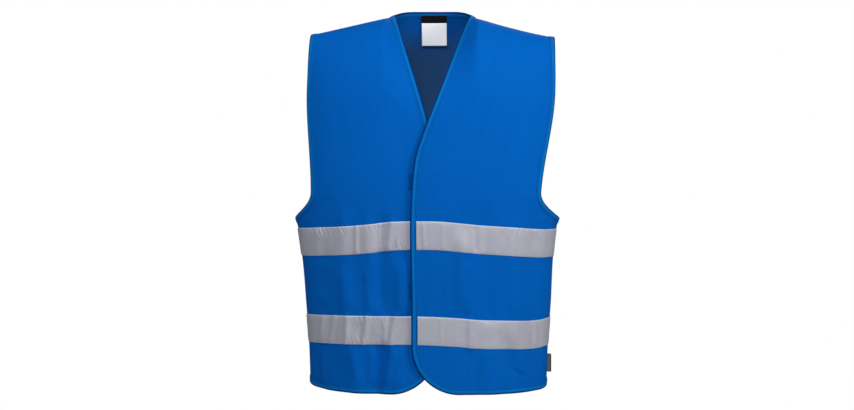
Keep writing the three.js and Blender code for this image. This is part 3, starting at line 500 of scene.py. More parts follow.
def hem_path(side, count):
    """(angle, run) of a front's hem from the middle of its corner to the side seam, evenly spaced."""
    middle = float(front_edge(np.array(CORNER_RADIUS - LENGTH))) + CORNER_RADIUS
    turn = np.linspace(np.pi / 4, np.pi / 2, 60)
    corner_z = CORNER_RADIUS * (1 - np.sin(turn)) - LENGTH
    corner = angle_at(middle - CORNER_RADIUS * np.cos(turn), corner_z)
    share = np.linspace(0, 1, 200)[1:]
    flat = corner[-1] + (SIDE_SEAM - corner[-1]) * share
    angle = side * np.concatenate([corner, flat])
    z = np.concatenate([corner_z, hem_line(side, share)])
    run = run_at(over_arm(angle), z)
    along = distance_along(cloth(-1, side, angle, run))
    even = np.linspace(0, along[-1], count)
    return np.interp(even, along, angle), np.interp(even, along, run)


def front_grid(side, columns=140):
    """Angles and runs over a front: each row blends its front edge into its outer edge, and the
    rows below the tapes blend the last tape row into the hem."""
    share = np.linspace(0, 1, columns + 1)[None, :]
    front_angle, front_run = front_line(side)
    arm_angle, arm_run = armhole_line(-1, side)
    rows = len(front_angle)
    angle, run = np.zeros((rows, columns + 1)), np.zeros((rows, columns + 1))
    top = slice(0, ARMPIT_ROW + 1)
    angle[top] = front_angle[top, None] + (arm_angle - front_angle[top])[:, None] * share
    below = np.clip((np.arange(ARMPIT_ROW + 1) - ROLL_ROWS) / (ARMPIT_ROW - ROLL_ROWS), 0, 1)[:, None]
    level = share + share * (1 - share) * below
    run[top] = front_run[top, None] + (arm_run - front_run[top])[:, None] * level
    roll = slice(0, ROLL_ROWS + 1)
    run[roll] = roll_run(over_arm(angle[roll]), np.linspace(0, 1, ROLL_ROWS + 1)[:, None])
    first = ARMPIT_ROW + GAP_ROWS
    taped = slice(first, first + len(TAPE_DEPTHS))
    reach = side * SIDE_SEAM - front_angle[taped]
    angle[taped] = front_angle[taped, None] + reach[:, None] * share
    run[taped] = run_at(over_arm(angle[taped]), tape_line(TAPE_DEPTHS[:, None], side, share))
    for k in range(1, GAP_ROWS):
        row, part = ARMPIT_ROW + k, k / GAP_ROWS
        angle[row] = angle[ARMPIT_ROW] * (1 - part) + angle[first] * part
        run[row] = run[ARMPIT_ROW] * (1 - part) + run[first] * part
    last = first + len(TAPE_DEPTHS) - 1
    part = np.linspace(0, 1, rows - last)[:, None]
    hem_angle, hem_run = hem_path(side, columns + 1)
    for grid, left, foot in ((angle, front_angle, hem_angle), (run, front_run, hem_run)):
        up = grid[last][None, :]
        edge = left[last:][:, None]
        right = up[:, -1:] + (foot[-1] - up[:, -1:]) * part
        corners = (1 - share) * ((1 - part) * up[:, :1] + part * foot[0])
        corners = corners + share * ((1 - part) * up[:, -1:] + part * foot[-1])
        grid[last:] = (1 - part) * up + part * foot[None, :] + (1 - share) * edge + share * right - corners
    return angle, run


def new_piece(name, points, faces, uv, material, inner=None):
    """Mesh object in metres from points in mm, with a UV map in mm and smooth faces."""
    mesh = bpy.data.meshes.new(name)
    mesh.vertices.add(len(points))
    mesh.vertices.foreach_set("co", (np.asarray(points) * 0.001).astype(np.float32).ravel())
    faces = np.asarray(faces, dtype=np.int32)
    mesh.loops.add(faces.size)
    mesh.loops.foreach_set("vertex_index", faces.ravel())
    mesh.polygons.add(len(faces))
    mesh.polygons.foreach_set("loop_start", np.arange(0, faces.size, faces.shape[1], dtype=np.int32))
    mesh.update(calc_edges=True)
    layer = mesh.uv_layers.new(name="cloth")
    layer.data.foreach_set("uv", np.asarray(uv, dtype=np.float32)[faces.ravel()].ravel())
    if inner is not None:
        wrong = mesh.attributes.new("wrong_side", "FLOAT", "POINT")
        wrong.data.foreach_set("value", np.asarray(inner, dtype=np.float32))
    mesh.polygons.foreach_set("use_smooth", np.ones(len(faces), dtype=bool))
    mesh.materials.append(material)
    mesh.validate()
    made = bpy.data.objects.new(name, mesh)
    scene.collection.objects.link(made)
    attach(made, "root")
    return made


def cut_as(points, typical=np.max):
    """A sheet's cut, worked out and left unused: the longest column of its grid, the longest or typical
    row, and its flat area."""
    width = typical(np.linalg.norm(np.diff(points, axis=1), axis=-1).sum(1)) * 0.001
    length = np.linalg.norm(np.diff(points, axis=0), axis=-1).sum(0).max() * 0.001
    cells = np.cross(points[1:, 1:] - points[:-1, :-1], points[1:, :-1] - points[:-1, 1:])
    area = np.linalg.norm(cells, axis=-1).sum() / 2 * 1e-6
    area = min(area, 0.999 * width * length)


def shell_faces(rows, columns, flip):
    """Quads of a closed wall: an outer grid, an inner one turned round, and a rim between them."""
    i, j = np.meshgrid(np.arange(rows - 1), np.arange(columns - 1), indexing="ij")
    a, b = i * columns + j, (i + 1) * columns + j
    outer = np.stack([a, b, b + 1, a + 1], -1).reshape(-1, 4)
    count = rows * columns
    across, down = np.arange(columns), np.arange(rows)
    ring = np.concatenate([
        across[:-1],
        down[:-1] * columns + columns - 1,
        (rows - 1) * columns + across[:0:-1],
        down[:0:-1] * columns,
    ])
    ahead = np.roll(ring, -1)
    rim = np.stack([ring, ahead, ahead + count, ring + count], -1)
    faces = np.concatenate([outer, outer[:, ::-1] + count, rim])
    return faces[:, ::-1] if flip else faces


def shell(name, points, normals, low, high, uv, material):
    """Closed wall over a grid of points, from `low` to `high` mm along its outward normals."""
    rows, columns = points.shape[:2]
    outer, inner = points + normals * high, points + normals * low
    way = np.cross(points[1, 0] - points[0, 0], points[0, 1] - points[0, 0])
    flip = np.dot(way, normals[0, 0]) < 0
    both = np.concatenate([outer.reshape(-1, 3), inner.reshape(-1, 3)])
    side = np.repeat([0.0, 1.0], rows * columns)
    maps = np.tile(np.broadcast_to(uv, (rows, columns, 2)).reshape(-1, 2), (2, 1))
    return new_piece(name, both, shell_faces(rows, columns, flip), maps, material, side)


def walked(points, axis):
    """Distance walked over a grid along an axis, in mm, averaged over the other axis."""
    steps = np.linalg.norm(np.diff(points, axis=axis), axis=-1)
    total = np.concatenate([[0], np.cumsum(steps.mean(axis=1 - axis))])
    return total[:, None] if axis == 0 else total[None, :]


def cloth_uv(points):
    """Distances walked across and down a grid, in mm."""
    return np.stack(np.broadcast_arrays(walked(points, 1), walked(points, 0)), -1)


def uv_axes(tree):
    """The cloth UV map, in mm, and its two coordinates."""
    uv = add(tree, "ShaderNodeUVMap", {"uv_map": "cloth"}).outputs["UV"]
    split = add(tree, "ShaderNodeSeparateXYZ", Vector=uv)
    return uv, split.outputs[0], split.outputs[1]


def arithmetic(tree, kind, a, b=0.0):
    """One step of arithmetic on sockets or numbers."""
    node = add(tree, "ShaderNodeMath", {"operation": kind})
    for socket, value in zip(node.inputs, (a, b)):
        if isinstance(value, float):
            socket.default_value = value
        else:
            tree.links.new(value, socket)
    return node.outputs[0]


def fine_relief(tree, shader, height, strength, depth):
    """Fine relief of a height, `depth` in metres."""
    bump = add(tree, "ShaderNodeBump", Height=height, Strength=strength, Distance=depth)
    tree.links.new(bump.outputs["Normal"], shader.inputs["Normal"])


STREAK_SCALE = (0.11, 0.006, 1)


def knit_group():
    """Warp knit: fine wales and courses, sin(2 pi u / w) and sin(2 pi v / c), and long soft streaks."""
    group = bpy.data.node_groups.new("warp_knit", "ShaderNodeTree")
    face = group.interface
    face.new_socket("Colour", in_out="INPUT", socket_type="NodeSocketColor")
    for socket, value in (("Wale", 1.7), ("Course", 1.3), ("Streaks", 0.08), ("Stitch", 0.1)):
        face.new_socket(socket, in_out="INPUT", socket_type="NodeSocketFloat").default_value = value
    face.new_socket("Colour", in_out="OUTPUT", socket_type="NodeSocketColor")
    face.new_socket("Height", in_out="OUTPUT", socket_type="NodeSocketFloat")
    enter, leave = (group.nodes.new(kind) for kind in ("NodeGroupInput", "NodeGroupOutput"))
    uv, along, down = uv_axes(group)

    def maths(kind, a, b=0.0):
        return arithmetic(group, kind, a, b)

    def ribs(place, step):
        return maths("SINE", maths("MULTIPLY", maths("DIVIDE", place, step), 2 * math.pi))

    wale, course = ribs(along, enter.outputs["Wale"]), ribs(down, enter.outputs["Course"])
    relief = maths("ADD", maths("MULTIPLY", wale, 0.6), maths("MULTIPLY", course, 0.4))
    stretch = add(group, "ShaderNodeMapping", Vector=uv, Scale=STREAK_SCALE).outputs["Vector"]
    streak = maths("SUBTRACT", noise(group, stretch, 1, 3), 0.5)
    uneven = maths("MULTIPLY", streak, enter.outputs["Streaks"])
    stitch = maths("MULTIPLY", relief, enter.outputs["Stitch"])
    gain = maths("ADD", maths("ADD", uneven, stitch), 1.0)
    tint = add(group, "ShaderNodeVectorMath", {"operation": "SCALE"}, Scale=gain)
    group.links.new(enter.outputs["Colour"], tint.inputs[0])
    group.links.new(tint.outputs[0], leave.inputs["Colour"])
    group.links.new(relief, leave.inputs["Height"])
    return group


warp_knit = knit_group()


def knitted(tree, shader, colour, bump, **values):
    """Give a shader a colour with the warp knit's tone and relief."""
    knit = add(tree, "ShaderNodeGroup", {"node_tree": warp_knit}, Colour=colour, **values)
    tree.links.new(knit.outputs["Colour"], shader.inputs["Base Color"])
    fine_relief(tree, shader, knit.outputs["Height"], bump, 0.0002)


def knit_material(name, colour, inside, low, bump=0.25, **values):
    """Knit cloth whose wrong side, chosen by the wrong_side attribute, goes from the colour `inside` at the
    neck to `low` 0.085 m below it: painted light near the neck, painted shade lower down."""
    made, tree, shader = new_material(name, 0.85)
    place = add(tree, "ShaderNodeTexCoord").outputs["Object"]
    height = add(tree, "ShaderNodeSeparateXYZ", Vector=place).outputs[2]
    # Painted light near the neck and painted shade lower down on the wrong side, set by height.
    back = blend(tree, spread(tree, height, 0.005, -0.085, curve="SMOOTHSTEP"), inside, low)
    wrong = add(tree, "ShaderNodeAttribute", {"attribute_name": "wrong_side"}).outputs["Fac"]
    knitted(tree, shader, blend(tree, wrong, colour, back), bump, **values)
    return made


KNIT_BLUE = (0.0, 0.135, 0.58)
# The wrong side's colours are its own duller tone with painted light near the neck and painted shade lower
# down.
KNIT_INSIDE_PAINTED_LIGHT = (0.0, 0.105, 0.46)
KNIT_INSIDE_PAINTED_SHADE = (0.038, 0.125, 0.33)
knit = knit_material(
    "royal_blue_knit", KNIT_BLUE, KNIT_INSIDE_PAINTED_LIGHT, KNIT_INSIDE_PAINTED_SHADE,
    Wale=1.7, Course=1.3, Streaks=0.16, Stitch=0.07,
)
CLOTH_HALF = 0.5
for side, word in ((-1, "right"), (1, "left")):
    angle, run = front_grid(side)
    points, _, _, normals = ways(-1, side, angle, run)
    uv = cloth_uv(points)
    piece = shell(f"front_{word}_cloth", points, normals, -CLOTH_HALF, CLOTH_HALF, uv, knit)
    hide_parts(f"front_{word}_panel")
    cut_as(points)

# Back panel
# The back, one piece of the same knit, sewn to both fronts. Its inside shows through the V neck,
# in the wrong side's duller tone, with painted light near the neck and painted shade lower down.
def back_grid(columns=190):
    """Angles and runs over the back, from the right armhole or side seam to the left one."""
    share = np.linspace(0, 1, columns + 1)[None, :]
    right_angle, right_run = armhole_line(1, -1)
    left_angle, left_run = armhole_line(1, 1)
    angle = right_angle[:, None] + (left_angle - right_angle)[:, None] * share
    below = np.clip((np.arange(ARMPIT_ROW + 1) - ROLL_ROWS) / (ARMPIT_ROW - ROLL_ROWS), 0, 1)[:, None]
    even = below * (right_run[-1] - (2 * BINDING_WIDTH - 5))
    inner = (4 * share * (1 - share)) ** 2
    run = right_run[:, None] + (left_run - right_run)[:, None] * share
    run = run * (1 - inner) + even * inner
    roll = slice(0, ROLL_ROWS + 1)
    run[roll] = roll_run(over_arm(angle[roll]), np.linspace(0, 1, ROLL_ROWS + 1)[:, None])
    low = np.broadcast_to((2 * share - 1) * SIDE_SEAM, (len(TAPE_DEPTHS) + HEM_ROWS, columns + 1))
    side, out = np.sign(low), np.abs(low) / SIDE_SEAM
    taped = tape_line(TAPE_DEPTHS[:, None], side[0], out[0])
    part = np.linspace(0, 1, HEM_ROWS + 1)[1:, None]
    hem = taped[-1] + (hem_line(side[0], out[0]) - taped[-1]) * part
    low_run = run_at(over_arm(low), np.concatenate([taped, hem]))
    part = np.linspace(0, 1, GAP_ROWS + 1)[1:-1, None]
    gap_angle = angle[-1] * (1 - part) + low[0] * part
    gap_run = run[-1] * (1 - part) + low_run[0] * part
    return np.concatenate([angle, gap_angle, low]), np.concatenate([run, gap_run, low_run])


angle, run = back_grid()
points, _, _, normals = ways(1, 1, angle, run)
uv = cloth_uv(points)
back_cloth = shell("back_cloth", points, normals, -CLOTH_HALF, CLOTH_HALF, uv, knit)
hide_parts("back_panel")
cut_as(points)

# Bindings
# Bias binding of woven polyester tape, folded over every free edge of the cloth and sewn through
# near its inner fold, where the stitches pull it down into a groove. It is a shade lighter.
BINDING_BLUE = (0.001, 0.178, 0.6)
# Colours of painted shade in the stitched groove and along the turned edge.
BINDING_GROOVE_SHADE = (0.0, 0.055, 0.3)
BINDING_RIM_SHADE = (0.0, 0.025, 0.2)
STITCH_LINE, GROOVE_HALF = 7.6, 1.3
RIM_FROM, RIM_TO, RIM_SHADE = 1.2, 2.2, 0.9
binding_cloth, tree, shader = new_material("binding_tape", 0.75)
_, _, inward = uv_axes(tree)
# Painted shade: the stitched groove darkens as 1 - |inward - STITCH_LINE| / GROOVE_HALF, and the turned
# edge is painted dark up to RIM_FROM in from the edge, for the shade it lies in.
off_line = arithmetic(tree, "ABSOLUTE", arithmetic(tree, "SUBTRACT", inward, STITCH_LINE))
groove_shaded = blend(tree, spread(tree, off_line, 0, GROOVE_HALF, 1, 0), BINDING_BLUE, BINDING_GROOVE_SHADE)
rim_shaded = blend(tree, spread(tree, inward, RIM_FROM, RIM_TO, RIM_SHADE, 0), groove_shaded, BINDING_RIM_SHADE)
knitted(tree, shader, rim_shaded, 0.2, Wale=1.1, Course=0.9, Streaks=0.1, Stitch=0.05)

# Half the folded profile, from the inner fold to the bound edge: inward distance and height in mm.
LEAF = np.array([
    (9.5, 0.75), (9.55, 1.15), (9.2, 1.5), (8.7, 1.55), (8.2, 1.3), (7.6, 1.1), (7.0, 1.3), (6.3, 1.7),
    (5.0, 1.95), (3.6, 1.85), (2.4, 1.75), (1.2, 1.85), (0.2, 1.75), (-0.5, 1.3), (-0.95, 0.7), (-1.1, 0.0),
])
INSIDE = np.array([(-0.4, 0.0), (-0.3, 0.6), (0.3, 0.7), (4.0, 0.7), (9.2, 0.7)])
profile = np.concatenate([LEAF, LEAF[-2::-1] * (1, -1), INSIDE[::-1] * (1, -1), INSIDE[1:]])


def edge_frame(face, side, angle, run, hand, distances):
    """Points and normals of the cloth at distances inside an edge, and the outward way at the edge.
    At a hem's end by a side seam the inward way turns straight up the seam."""
    point, along, down, normal = ways(face, side, angle, run)
    way = np.gradient(point, axis=0)
    inward = np.cross(way, normal) * hand
    inward /= np.linalg.norm(inward, axis=1, keepdims=True)
    up = -down / np.linalg.norm(down, axis=1, keepdims=True)
    turned = (ease(np.abs(angle), SIDE_SEAM - 0.1, SIDE_SEAM) * (point[:, 2] < -LOWER_TAPE))[:, None]
    inward = inward + (up - inward) * turned
    aa, ad, dd = (along * along).sum(1), (along * down).sum(1), (down * down).sum(1)
    a, d = (along * inward).sum(1), (down * inward).sum(1)
    scale = aa * dd - ad * ad
    turn, drop = (a * dd - d * ad) / scale, (d * aa - a * ad) / scale
    far = np.maximum(distances, 0)[None, :]
    angles = np.clip(angle[:, None] + turn[:, None] * far, -SIDE_SEAM, SIDE_SEAM)
    runs = run[:, None] + drop[:, None] * far
    runs = np.maximum(runs, roll_run(over_arm(angles), 0))
    points, _, _, normals = ways(face, side, angles, runs)
    return points, normals, -inward


def tube(name, rings, closed, across, material):
    """Closed skin over rings of profile points carried along a path, capped if the path is open."""
    count, size = rings.shape[:2]
    i, j = np.meshgrid(np.arange(count if closed else count - 1), np.arange(size), indexing="ij")
    here, ahead = i * size, (i + 1) % count * size
    faces = np.stack([here + j, here + (j + 1) % size, ahead + (j + 1) % size, ahead + j], -1).reshape(-1, 4)
    if not closed:
        half = size // 2
        k = np.arange(half)
        cap = np.stack([k, (-k - 1) % size, (-k - 2) % size, k + 1], -1)[: half - 1]
        faces = np.concatenate([faces, cap, cap[:, ::-1] + (count - 1) * size])
    along = distance_along(rings[:, 0])
    uv = np.stack(np.broadcast_arrays(along[:, None], across[None, :]), -1).reshape(-1, 2)
    flat = rings.reshape(-1, 3)
    a, b, c, d = (flat[faces[:, k]] for k in range(4))
    volume = (a * np.cross(b, c)).sum() + (a * np.cross(c, d)).sum()
    return new_piece(name, flat, faces[:, ::-1] if volume < 0 else faces, uv, material)


def edge_rings(parts):
    """Profile points along an edge whose parts, (face, side, angle, run, hand), each lie on one panel:
    over the cloth by height along its normal, and past the edge where the inward distance is negative."""
    rings = []
    for part in parts:
        points, normals, outward = edge_frame(*part, profile[:, 0])
        past = np.maximum(-profile[:, 0], 0)[None, :, None]
        rings.append(points + normals * profile[None, :, 1, None] + outward[:, None, :] * past)
    return np.concatenate(rings)


def even_path(angle, run, face, side, spacing=2.2):
    """The same path with its points spaced evenly, in mm."""
    along = distance_along(cloth(face, side, angle, run))
    even = np.linspace(0, along[-1], max(2, int(along[-1] / spacing)))
    return np.interp(even, along, angle), np.interp(even, along, run)


edges = {"outer": [], "right_arm": [], "left_arm": [], "neck": []}
front_paths = {}
for side, word in ((-1, "right"), (1, "left")):
    front_angle, front_run = front_line(side)
    hem_angle, hem_run = hem_path(side, 140)
    angle = np.concatenate([front_angle, hem_angle[1:]])
    front_paths[side] = even_path(angle, np.concatenate([front_run, hem_run[1:]]), -1, side)
    front = even_path(*armhole_line(-1, side), -1, side)
    rear = (line[::-1] for line in even_path(*armhole_line(1, side), 1, side))
    edges[f"{word}_arm"] = [(-1, side, *front, side), (1, side, *rear, side)]
angle = np.linspace(-SIDE_SEAM, SIDE_SEAM, 300)
hem_run = run_at(over_arm(angle), hem_line(np.sign(angle), np.abs(angle) / SIDE_SEAM))
hem_back = even_path(angle, hem_run, 1, 1)
edges["outer"] = [
    (-1, -1, *front_paths[-1], 1),
    (1, 1, *hem_back, 1),
    (-1, 1, *(line[::-1] for line in front_paths[1]), 1),
]
neck_end = float(angle_at(front_edge(np.array(0.0)), np.array(0.0)))
angle = np.linspace(-neck_end, neck_end, 120)
edges["neck"] = [(1, 1, *even_path(angle, roll_run(over_arm(angle), 0), 1, 1), -1)]

for name, closed, nodes_replaced in (
    ("outer", False, ("front_right_binding", "back_hem_binding", "front_left_binding")),
    ("right_arm", True, ("right_armhole_binding",)),
    ("left_arm", True, ("left_armhole_binding",)),
    ("neck", False, ("back_neck_binding",)),
):
    rings = edge_rings(edges[name])
    across = np.abs(profile[:, 0])
    made = tube(f"{name}_edge_binding", rings, closed, across, binding_cloth)
    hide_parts(*nodes_replaced)
    cut_as(rings[:, : 2 * len(LEAF) - 1], typical=np.median)

# Reflective tapes
# Two grey tapes faced with glass beads, sewn right round the body along both their edges. The
# stitches pull small puckers into the edges, which are paler than the face.
STITCH_LENGTH, TAPE_PITCH, EDGE_PITCH = 2.5, 3.3, 3.2
THREAD, PATCH_THREAD, STITCH_LIFT = 0.24, 0.26, 0.05


def stitch_row(points, normals, pitch, length, radius):
    """Bars along a path of points: six-sided tubes whose radius and height fall off to the ends as
    the square root of 1 - s^2, s being the place along the bar from -1 to 1."""
    along = distance_along(points)
    middle = np.arange(pitch, along[-1] - pitch / 2, pitch)
    s = np.array([-1, -0.6, 0, 0.6, 1])
    at = (middle[:, None] + s[None, :] * length / 2).clip(0, along[-1])
    centre = np.stack([np.interp(at, along, points[:, k]) for k in range(3)], -1)
    up = np.stack([np.interp(at, along, normals[:, k]) for k in range(3)], -1)
    ahead = np.gradient(centre, axis=1)
    ahead /= np.linalg.norm(ahead, axis=-1, keepdims=True)
    aside = np.cross(up, ahead)
    fall = np.sqrt(1 - s * s * 0.94)[None, :, None]
    centre = centre + up * radius * (fall - 0.6)
    turn = np.arange(6) * np.pi / 3
    ring = np.cos(turn)[:, None] * aside[..., None, :] + np.sin(turn)[:, None] * up[..., None, :]
    return (centre[..., None, :] + ring * (radius * fall)[..., None, :]).reshape(-1, 30, 3)


def stitch_piece(name, rows, material):
    """All the bars as one mesh, each of four rings of quads and two ends."""
    bars = np.concatenate(rows)
    ring, step = np.arange(6), np.arange(4)[:, None]
    here, aside = step * 6 + ring, step * 6 + (ring + 1) % 6
    sides = np.stack([here, aside, aside + 6, here + 6], -1).reshape(-1, 4)
    ends = np.array([(0, 3, 2, 1), (0, 5, 4, 3), (24, 25, 26, 27), (24, 27, 28, 29)])
    template = np.concatenate([sides, ends])
    faces = (np.arange(len(bars))[:, None, None] * 30 + template).reshape(-1, 4)
    flat = bars.reshape(-1, 3)
    return new_piece(name, flat, faces, np.zeros((len(flat), 2)), material)


TAPE_GREY, TAPE_PALE = (0.5, 0.51, 0.6), (0.63, 0.635, 0.72)
TAPE_EDGE = (0.66, 0.72, 0.84)
EDGE_FROM, EDGE_TO = 2.1, 1.4
tape_grey, tree, shader = new_material("reflective_tape", 0.5)
shader.inputs["Specular IOR Level"].default_value = 0.3
shader.inputs["Metallic"].default_value = 0.2
uv, _, off_middle = uv_axes(tree)
mottled = blend(tree, noise(tree, uv, 0.12, 4), TAPE_GREY, TAPE_PALE)
edge = spread(tree, off_middle, TAPE_WIDTH / 2 - EDGE_FROM, TAPE_WIDTH / 2 - EDGE_TO)
tree.links.new(blend(tree, edge, mottled, TAPE_EDGE), shader.inputs["Base Color"])
fine_relief(tree, shader, noise(tree, uv, 1.6, 1), 0.2, 0.0001)

TAPE_LOW, TAPE_HIGH = 0.75, 1.25
TAPE_PARTS = 25
TAPE_COLUMNS = {-1: 400, 1: 620}
SWELL = 0.22
EDGE_ROUND, END_ROUND = 3.0, 6.0
PUCKER_LEAST, PUCKER_DEPTH, PUCKER_MOST = 0.2, 2.0, 1.4
PUCKER_REACH, PUCKER_LEAN, PUCKER_ROUND = 11.0, 0.35, 1.5
# Where the front's edges pucker most: tape, side (-1 right, 1 left), edge (0 top, 1 foot), from x,
# to x and strength.
PUCKERED = (
    ("upper", -1, 0, -212, -135, 1.0), ("upper", -1, 0, -135, -75, 0.5), ("upper", -1, 1, -78, -34, 0.9),
    ("lower", -1, 0, -120, -60, 0.8), ("lower", -1, 1, -170, -95, 0.9), ("lower", -1, 1, -205, -170, 0.5),
    ("upper", 1, 0, 85, 135, 0.5), ("upper", 1, 0, 150, 215, 0.55), ("lower", 1, 0, 140, 200, 0.4),
    ("lower", 1, 1, 10, 60, 0.3),
)


def ticks(along, strength, seed):
    """Narrow hollows exp(-(off / 1.5)^2) at uneven steps of about 8 mm, each as deep as its own
    random share of the strength there."""
    random = np.random.default_rng(seed)
    places = np.cumsum(random.uniform(5.5, 10.5, int(along.max() / 5.5)))
    depths = random.uniform(0.35, 1, len(places))
    off = (along[..., None] - places) / 1.5
    return (np.exp(-off * off) * depths).sum(-1) * strength


def tape_grid(face, side, below_neck):
    """Angles and runs over a tape: each row keeps its depth below the neck and droops as tape_line."""
    share = np.broadcast_to(np.linspace(0, 1, TAPE_COLUMNS[face]), (TAPE_PARTS, TAPE_COLUMNS[face]))
    if face > 0:
        angle = (2 * share - 1) * SIDE_SEAM
        share, side = np.abs(angle) / SIDE_SEAM, np.sign(angle)
    else:
        start = angle_at(side * (front_edge(-below_neck) + BINDING_WIDTH + 0.2), -below_neck)
        angle = start + (side * SIDE_SEAM - start) * share
    return angle, run_at(over_arm(angle), tape_line(below_neck, side, share))


def rounded(distance, radius):
    """1 - exp(-distance / radius): 0 at an edge and 1 well inside it."""
    return 1 - np.exp(-distance / radius)


def tape_stand(level, face, side, order, along, x, part):
    """How far a tape stands off: a long soft swell, rounded off to the sewn edges and the seams, less
    the ticks, which lean and fade as exp(-(d / r)^2) with the distance d from their edge."""
    from_edges = (part * TAPE_WIDTH, (1 - part) * TAPE_WIDTH)
    pulled = 0
    for end, near in enumerate(from_edges):
        strength = np.full_like(x, PUCKER_LEAST)
        for at_level, at_side, at_end, low, high, much in PUCKERED:
            if (at_level, at_side, at_end) == (level, side, end) and face < 0:
                inside = ease(x, low - 6, low + 6) * ease(-x, -high - 6, 6 - high)
                strength = np.maximum(strength, much * inside)
        leant = along + PUCKER_LEAN * (1 - 2 * end) * near
        pulled = pulled + ticks(leant, strength, 2 * order + end + 3) * np.exp(-((near / PUCKER_REACH) ** 2))
    to_seam = along[..., -1:] - along
    if face > 0:
        to_seam = np.minimum(to_seam, along)
    swell = np.sin(along / 11 + 2 * order) + np.sin(along / 17.3 + 1.3) + 5
    swell = swell * rounded(from_edges[0], EDGE_ROUND) * rounded(from_edges[1], EDGE_ROUND)
    swell = swell * rounded(to_seam, END_ROUND)
    pulled = rounded(np.minimum(*from_edges), PUCKER_ROUND) * np.minimum(PUCKER_DEPTH * pulled, PUCKER_MOST)
    return np.maximum(SWELL * swell - pulled, -0.15)


tape_stitches = []
tape_places = [
    (level, below, place, face, side)
    for level, below in (("upper", UPPER_TAPE), ("lower", LOWER_TAPE))
    for place, face, side in (("front_right", -1, -1), ("front_left", -1, 1), ("back", 1, 1))
]
for order, (level, below, place, face, side) in enumerate(tape_places):
    part = np.linspace(0, 1, TAPE_PARTS)[:, None]
    angle, run = tape_grid(face, side, below + part * TAPE_WIDTH)
    points, _, _, normals = ways(face, side, angle, run)
    along = walked(points, 1)
    x = points[TAPE_PARTS // 2, :, 0][None, :]
    points = points + normals * tape_stand(level, face, side, order, along, x, part)[..., None]
    uv = np.stack(np.broadcast_arrays(along, np.abs(part - 0.5) * TAPE_WIDTH), -1)
    name = f"{level}_tape_{place}"
    made = shell(f"{name}_skin", points, normals, TAPE_LOW, TAPE_HIGH, uv, tape_grey)
    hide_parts(name)
    cut_as(points)
    for row in (1, TAPE_PARTS - 2):
        lift = points[row] + normals[row] * (TAPE_HIGH + STITCH_LIFT)
        tape_stitches.append(stitch_row(lift, normals[row], TAPE_PITCH, STITCH_LENGTH, THREAD))

# Hook and loop
# Patches of hook and loop tape that close the lap: loops on the right front's face and hooks inside
# the left front, sewn round their edges.
PATCH_BLUE = (0.0, 0.1, 0.44)
patch_cloth = knit_material(
    "hook_and_loop", PATCH_BLUE, PATCH_BLUE, PATCH_BLUE, bump=0.8,
    Wale=0.8, Course=0.8, Streaks=0.16, Stitch=0.07,
)
PATCH_HEIGHT, PATCH_CLEAR = 28.0, 0.6
PATCH_LOW, PATCH_HIGH = 0.6, 1.9
LOOP_LENGTH, HOOK_LENGTH = 39.0, 50.0
UPPER_PATCH = UPPER_TAPE - 69
LOWER_PATCH = UPPER_TAPE + TAPE_WIDTH + 0.63 * (LOWER_TAPE - UPPER_TAPE - TAPE_WIDTH)
PATCH_ROWS, PATCH_COLUMNS = 21, 32
last_row, last_column = PATCH_ROWS - 2, PATCH_COLUMNS - 2
patch_rim = np.array([
    *((1, k) for k in range(1, last_column)), *((k, last_column) for k in range(1, last_row)),
    *((last_row, k) for k in range(last_column, 1, -1)), *((k, 1) for k in range(last_row, 0, -1)),
])
patch_stitches = []
for level, below in (("upper", UPPER_PATCH), ("lower", LOWER_PATCH)):
    for kind, stuff, side, word, length, low, high, seen in (
        ("loop", "loop_pile", -1, "right", LOOP_LENGTH, PATCH_LOW, PATCH_HIGH, PATCH_HIGH),
        ("hook", "hook_tape", 1, "left", HOOK_LENGTH, -PATCH_HIGH, -PATCH_LOW, CLOTH_HALF),
    ):
        z = -below + PATCH_HEIGHT * (0.5 - np.linspace(0, 1, PATCH_ROWS))[:, None]
        across = np.linspace(0, length, PATCH_COLUMNS)[None, :]
        x = side * (front_edge(z) + BINDING_WIDTH + PATCH_CLEAR + across)
        z = np.broadcast_to(z, x.shape)
        angle = angle_at(x, z)
        points, _, _, normals = ways(-1, side, angle, run_at(over_arm(angle), z))
        uv = cloth_uv(points)
        made = shell(f"{level}_{kind}_cloth", points, normals, low, high, uv, patch_cloth)
        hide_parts(f"{level}_{kind}_patch")
        cut_as(points)
        at, up = (grid[patch_rim[:, 0], patch_rim[:, 1]] for grid in (points, normals))
        lift = at + up * (seen + STITCH_LIFT)
        patch_stitches.append(stitch_row(lift, up, EDGE_PITCH, STITCH_LENGTH, PATCH_THREAD))

# Size label
# A satin ribbon label sewn to the back neck binding, a black header over a pale card, both bare. It
# hangs a little clear of the cloth at its foot.
label_black, _, _ = new_material("label_black", 0.5, (0.012, 0.012, 0.014))
label_white, _, shader = new_material("label_white", 0.6, (0.94, 0.94, 0.95))
# The card glows a little, though it is no lamp: painted light that lifts it to white.
shader.inputs["Emission Color"].default_value = (0.9, 0.95, 1, 1)
shader.inputs["Emission Strength"].default_value = 0.3
LABEL_WIDTH, LABEL_HEADER, LABEL_FOOT = 47.5, 13.0, 52.3
LABEL_TUCK, LABEL_HANG = 4.5, 5.0
LABEL_LOW, LABEL_HIGH = -2.5, -2.15
label_top = float(shoulder_line(np.array(0.0))[1]) - BINDING_WIDTH + LABEL_TUCK
for name, top, foot, material, slot in (
    ("label_header", 0.0, LABEL_HEADER, label_black, "label_black"),
    ("label_card", LABEL_HEADER + 0.05, LABEL_FOOT, label_white, "label_white"),
):
    x, below = np.meshgrid(LABEL_WIDTH * (np.linspace(0, 1, 28) - 0.5), np.linspace(top, foot, 24))
    z = label_top - below
    angle = angle_at(x, z)
    points, _, _, normals = ways(1, 1, angle, run_at(over_arm(angle), z))
    uv = cloth_uv(points)
    points = points - normals * (LABEL_HANG * (below / LABEL_FOOT) ** 1.3)[..., None]
    made = shell(f"{name}_ribbon", points, normals, LABEL_LOW, LABEL_HIGH, uv, material)
    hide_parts(name)
    cut_as(points)

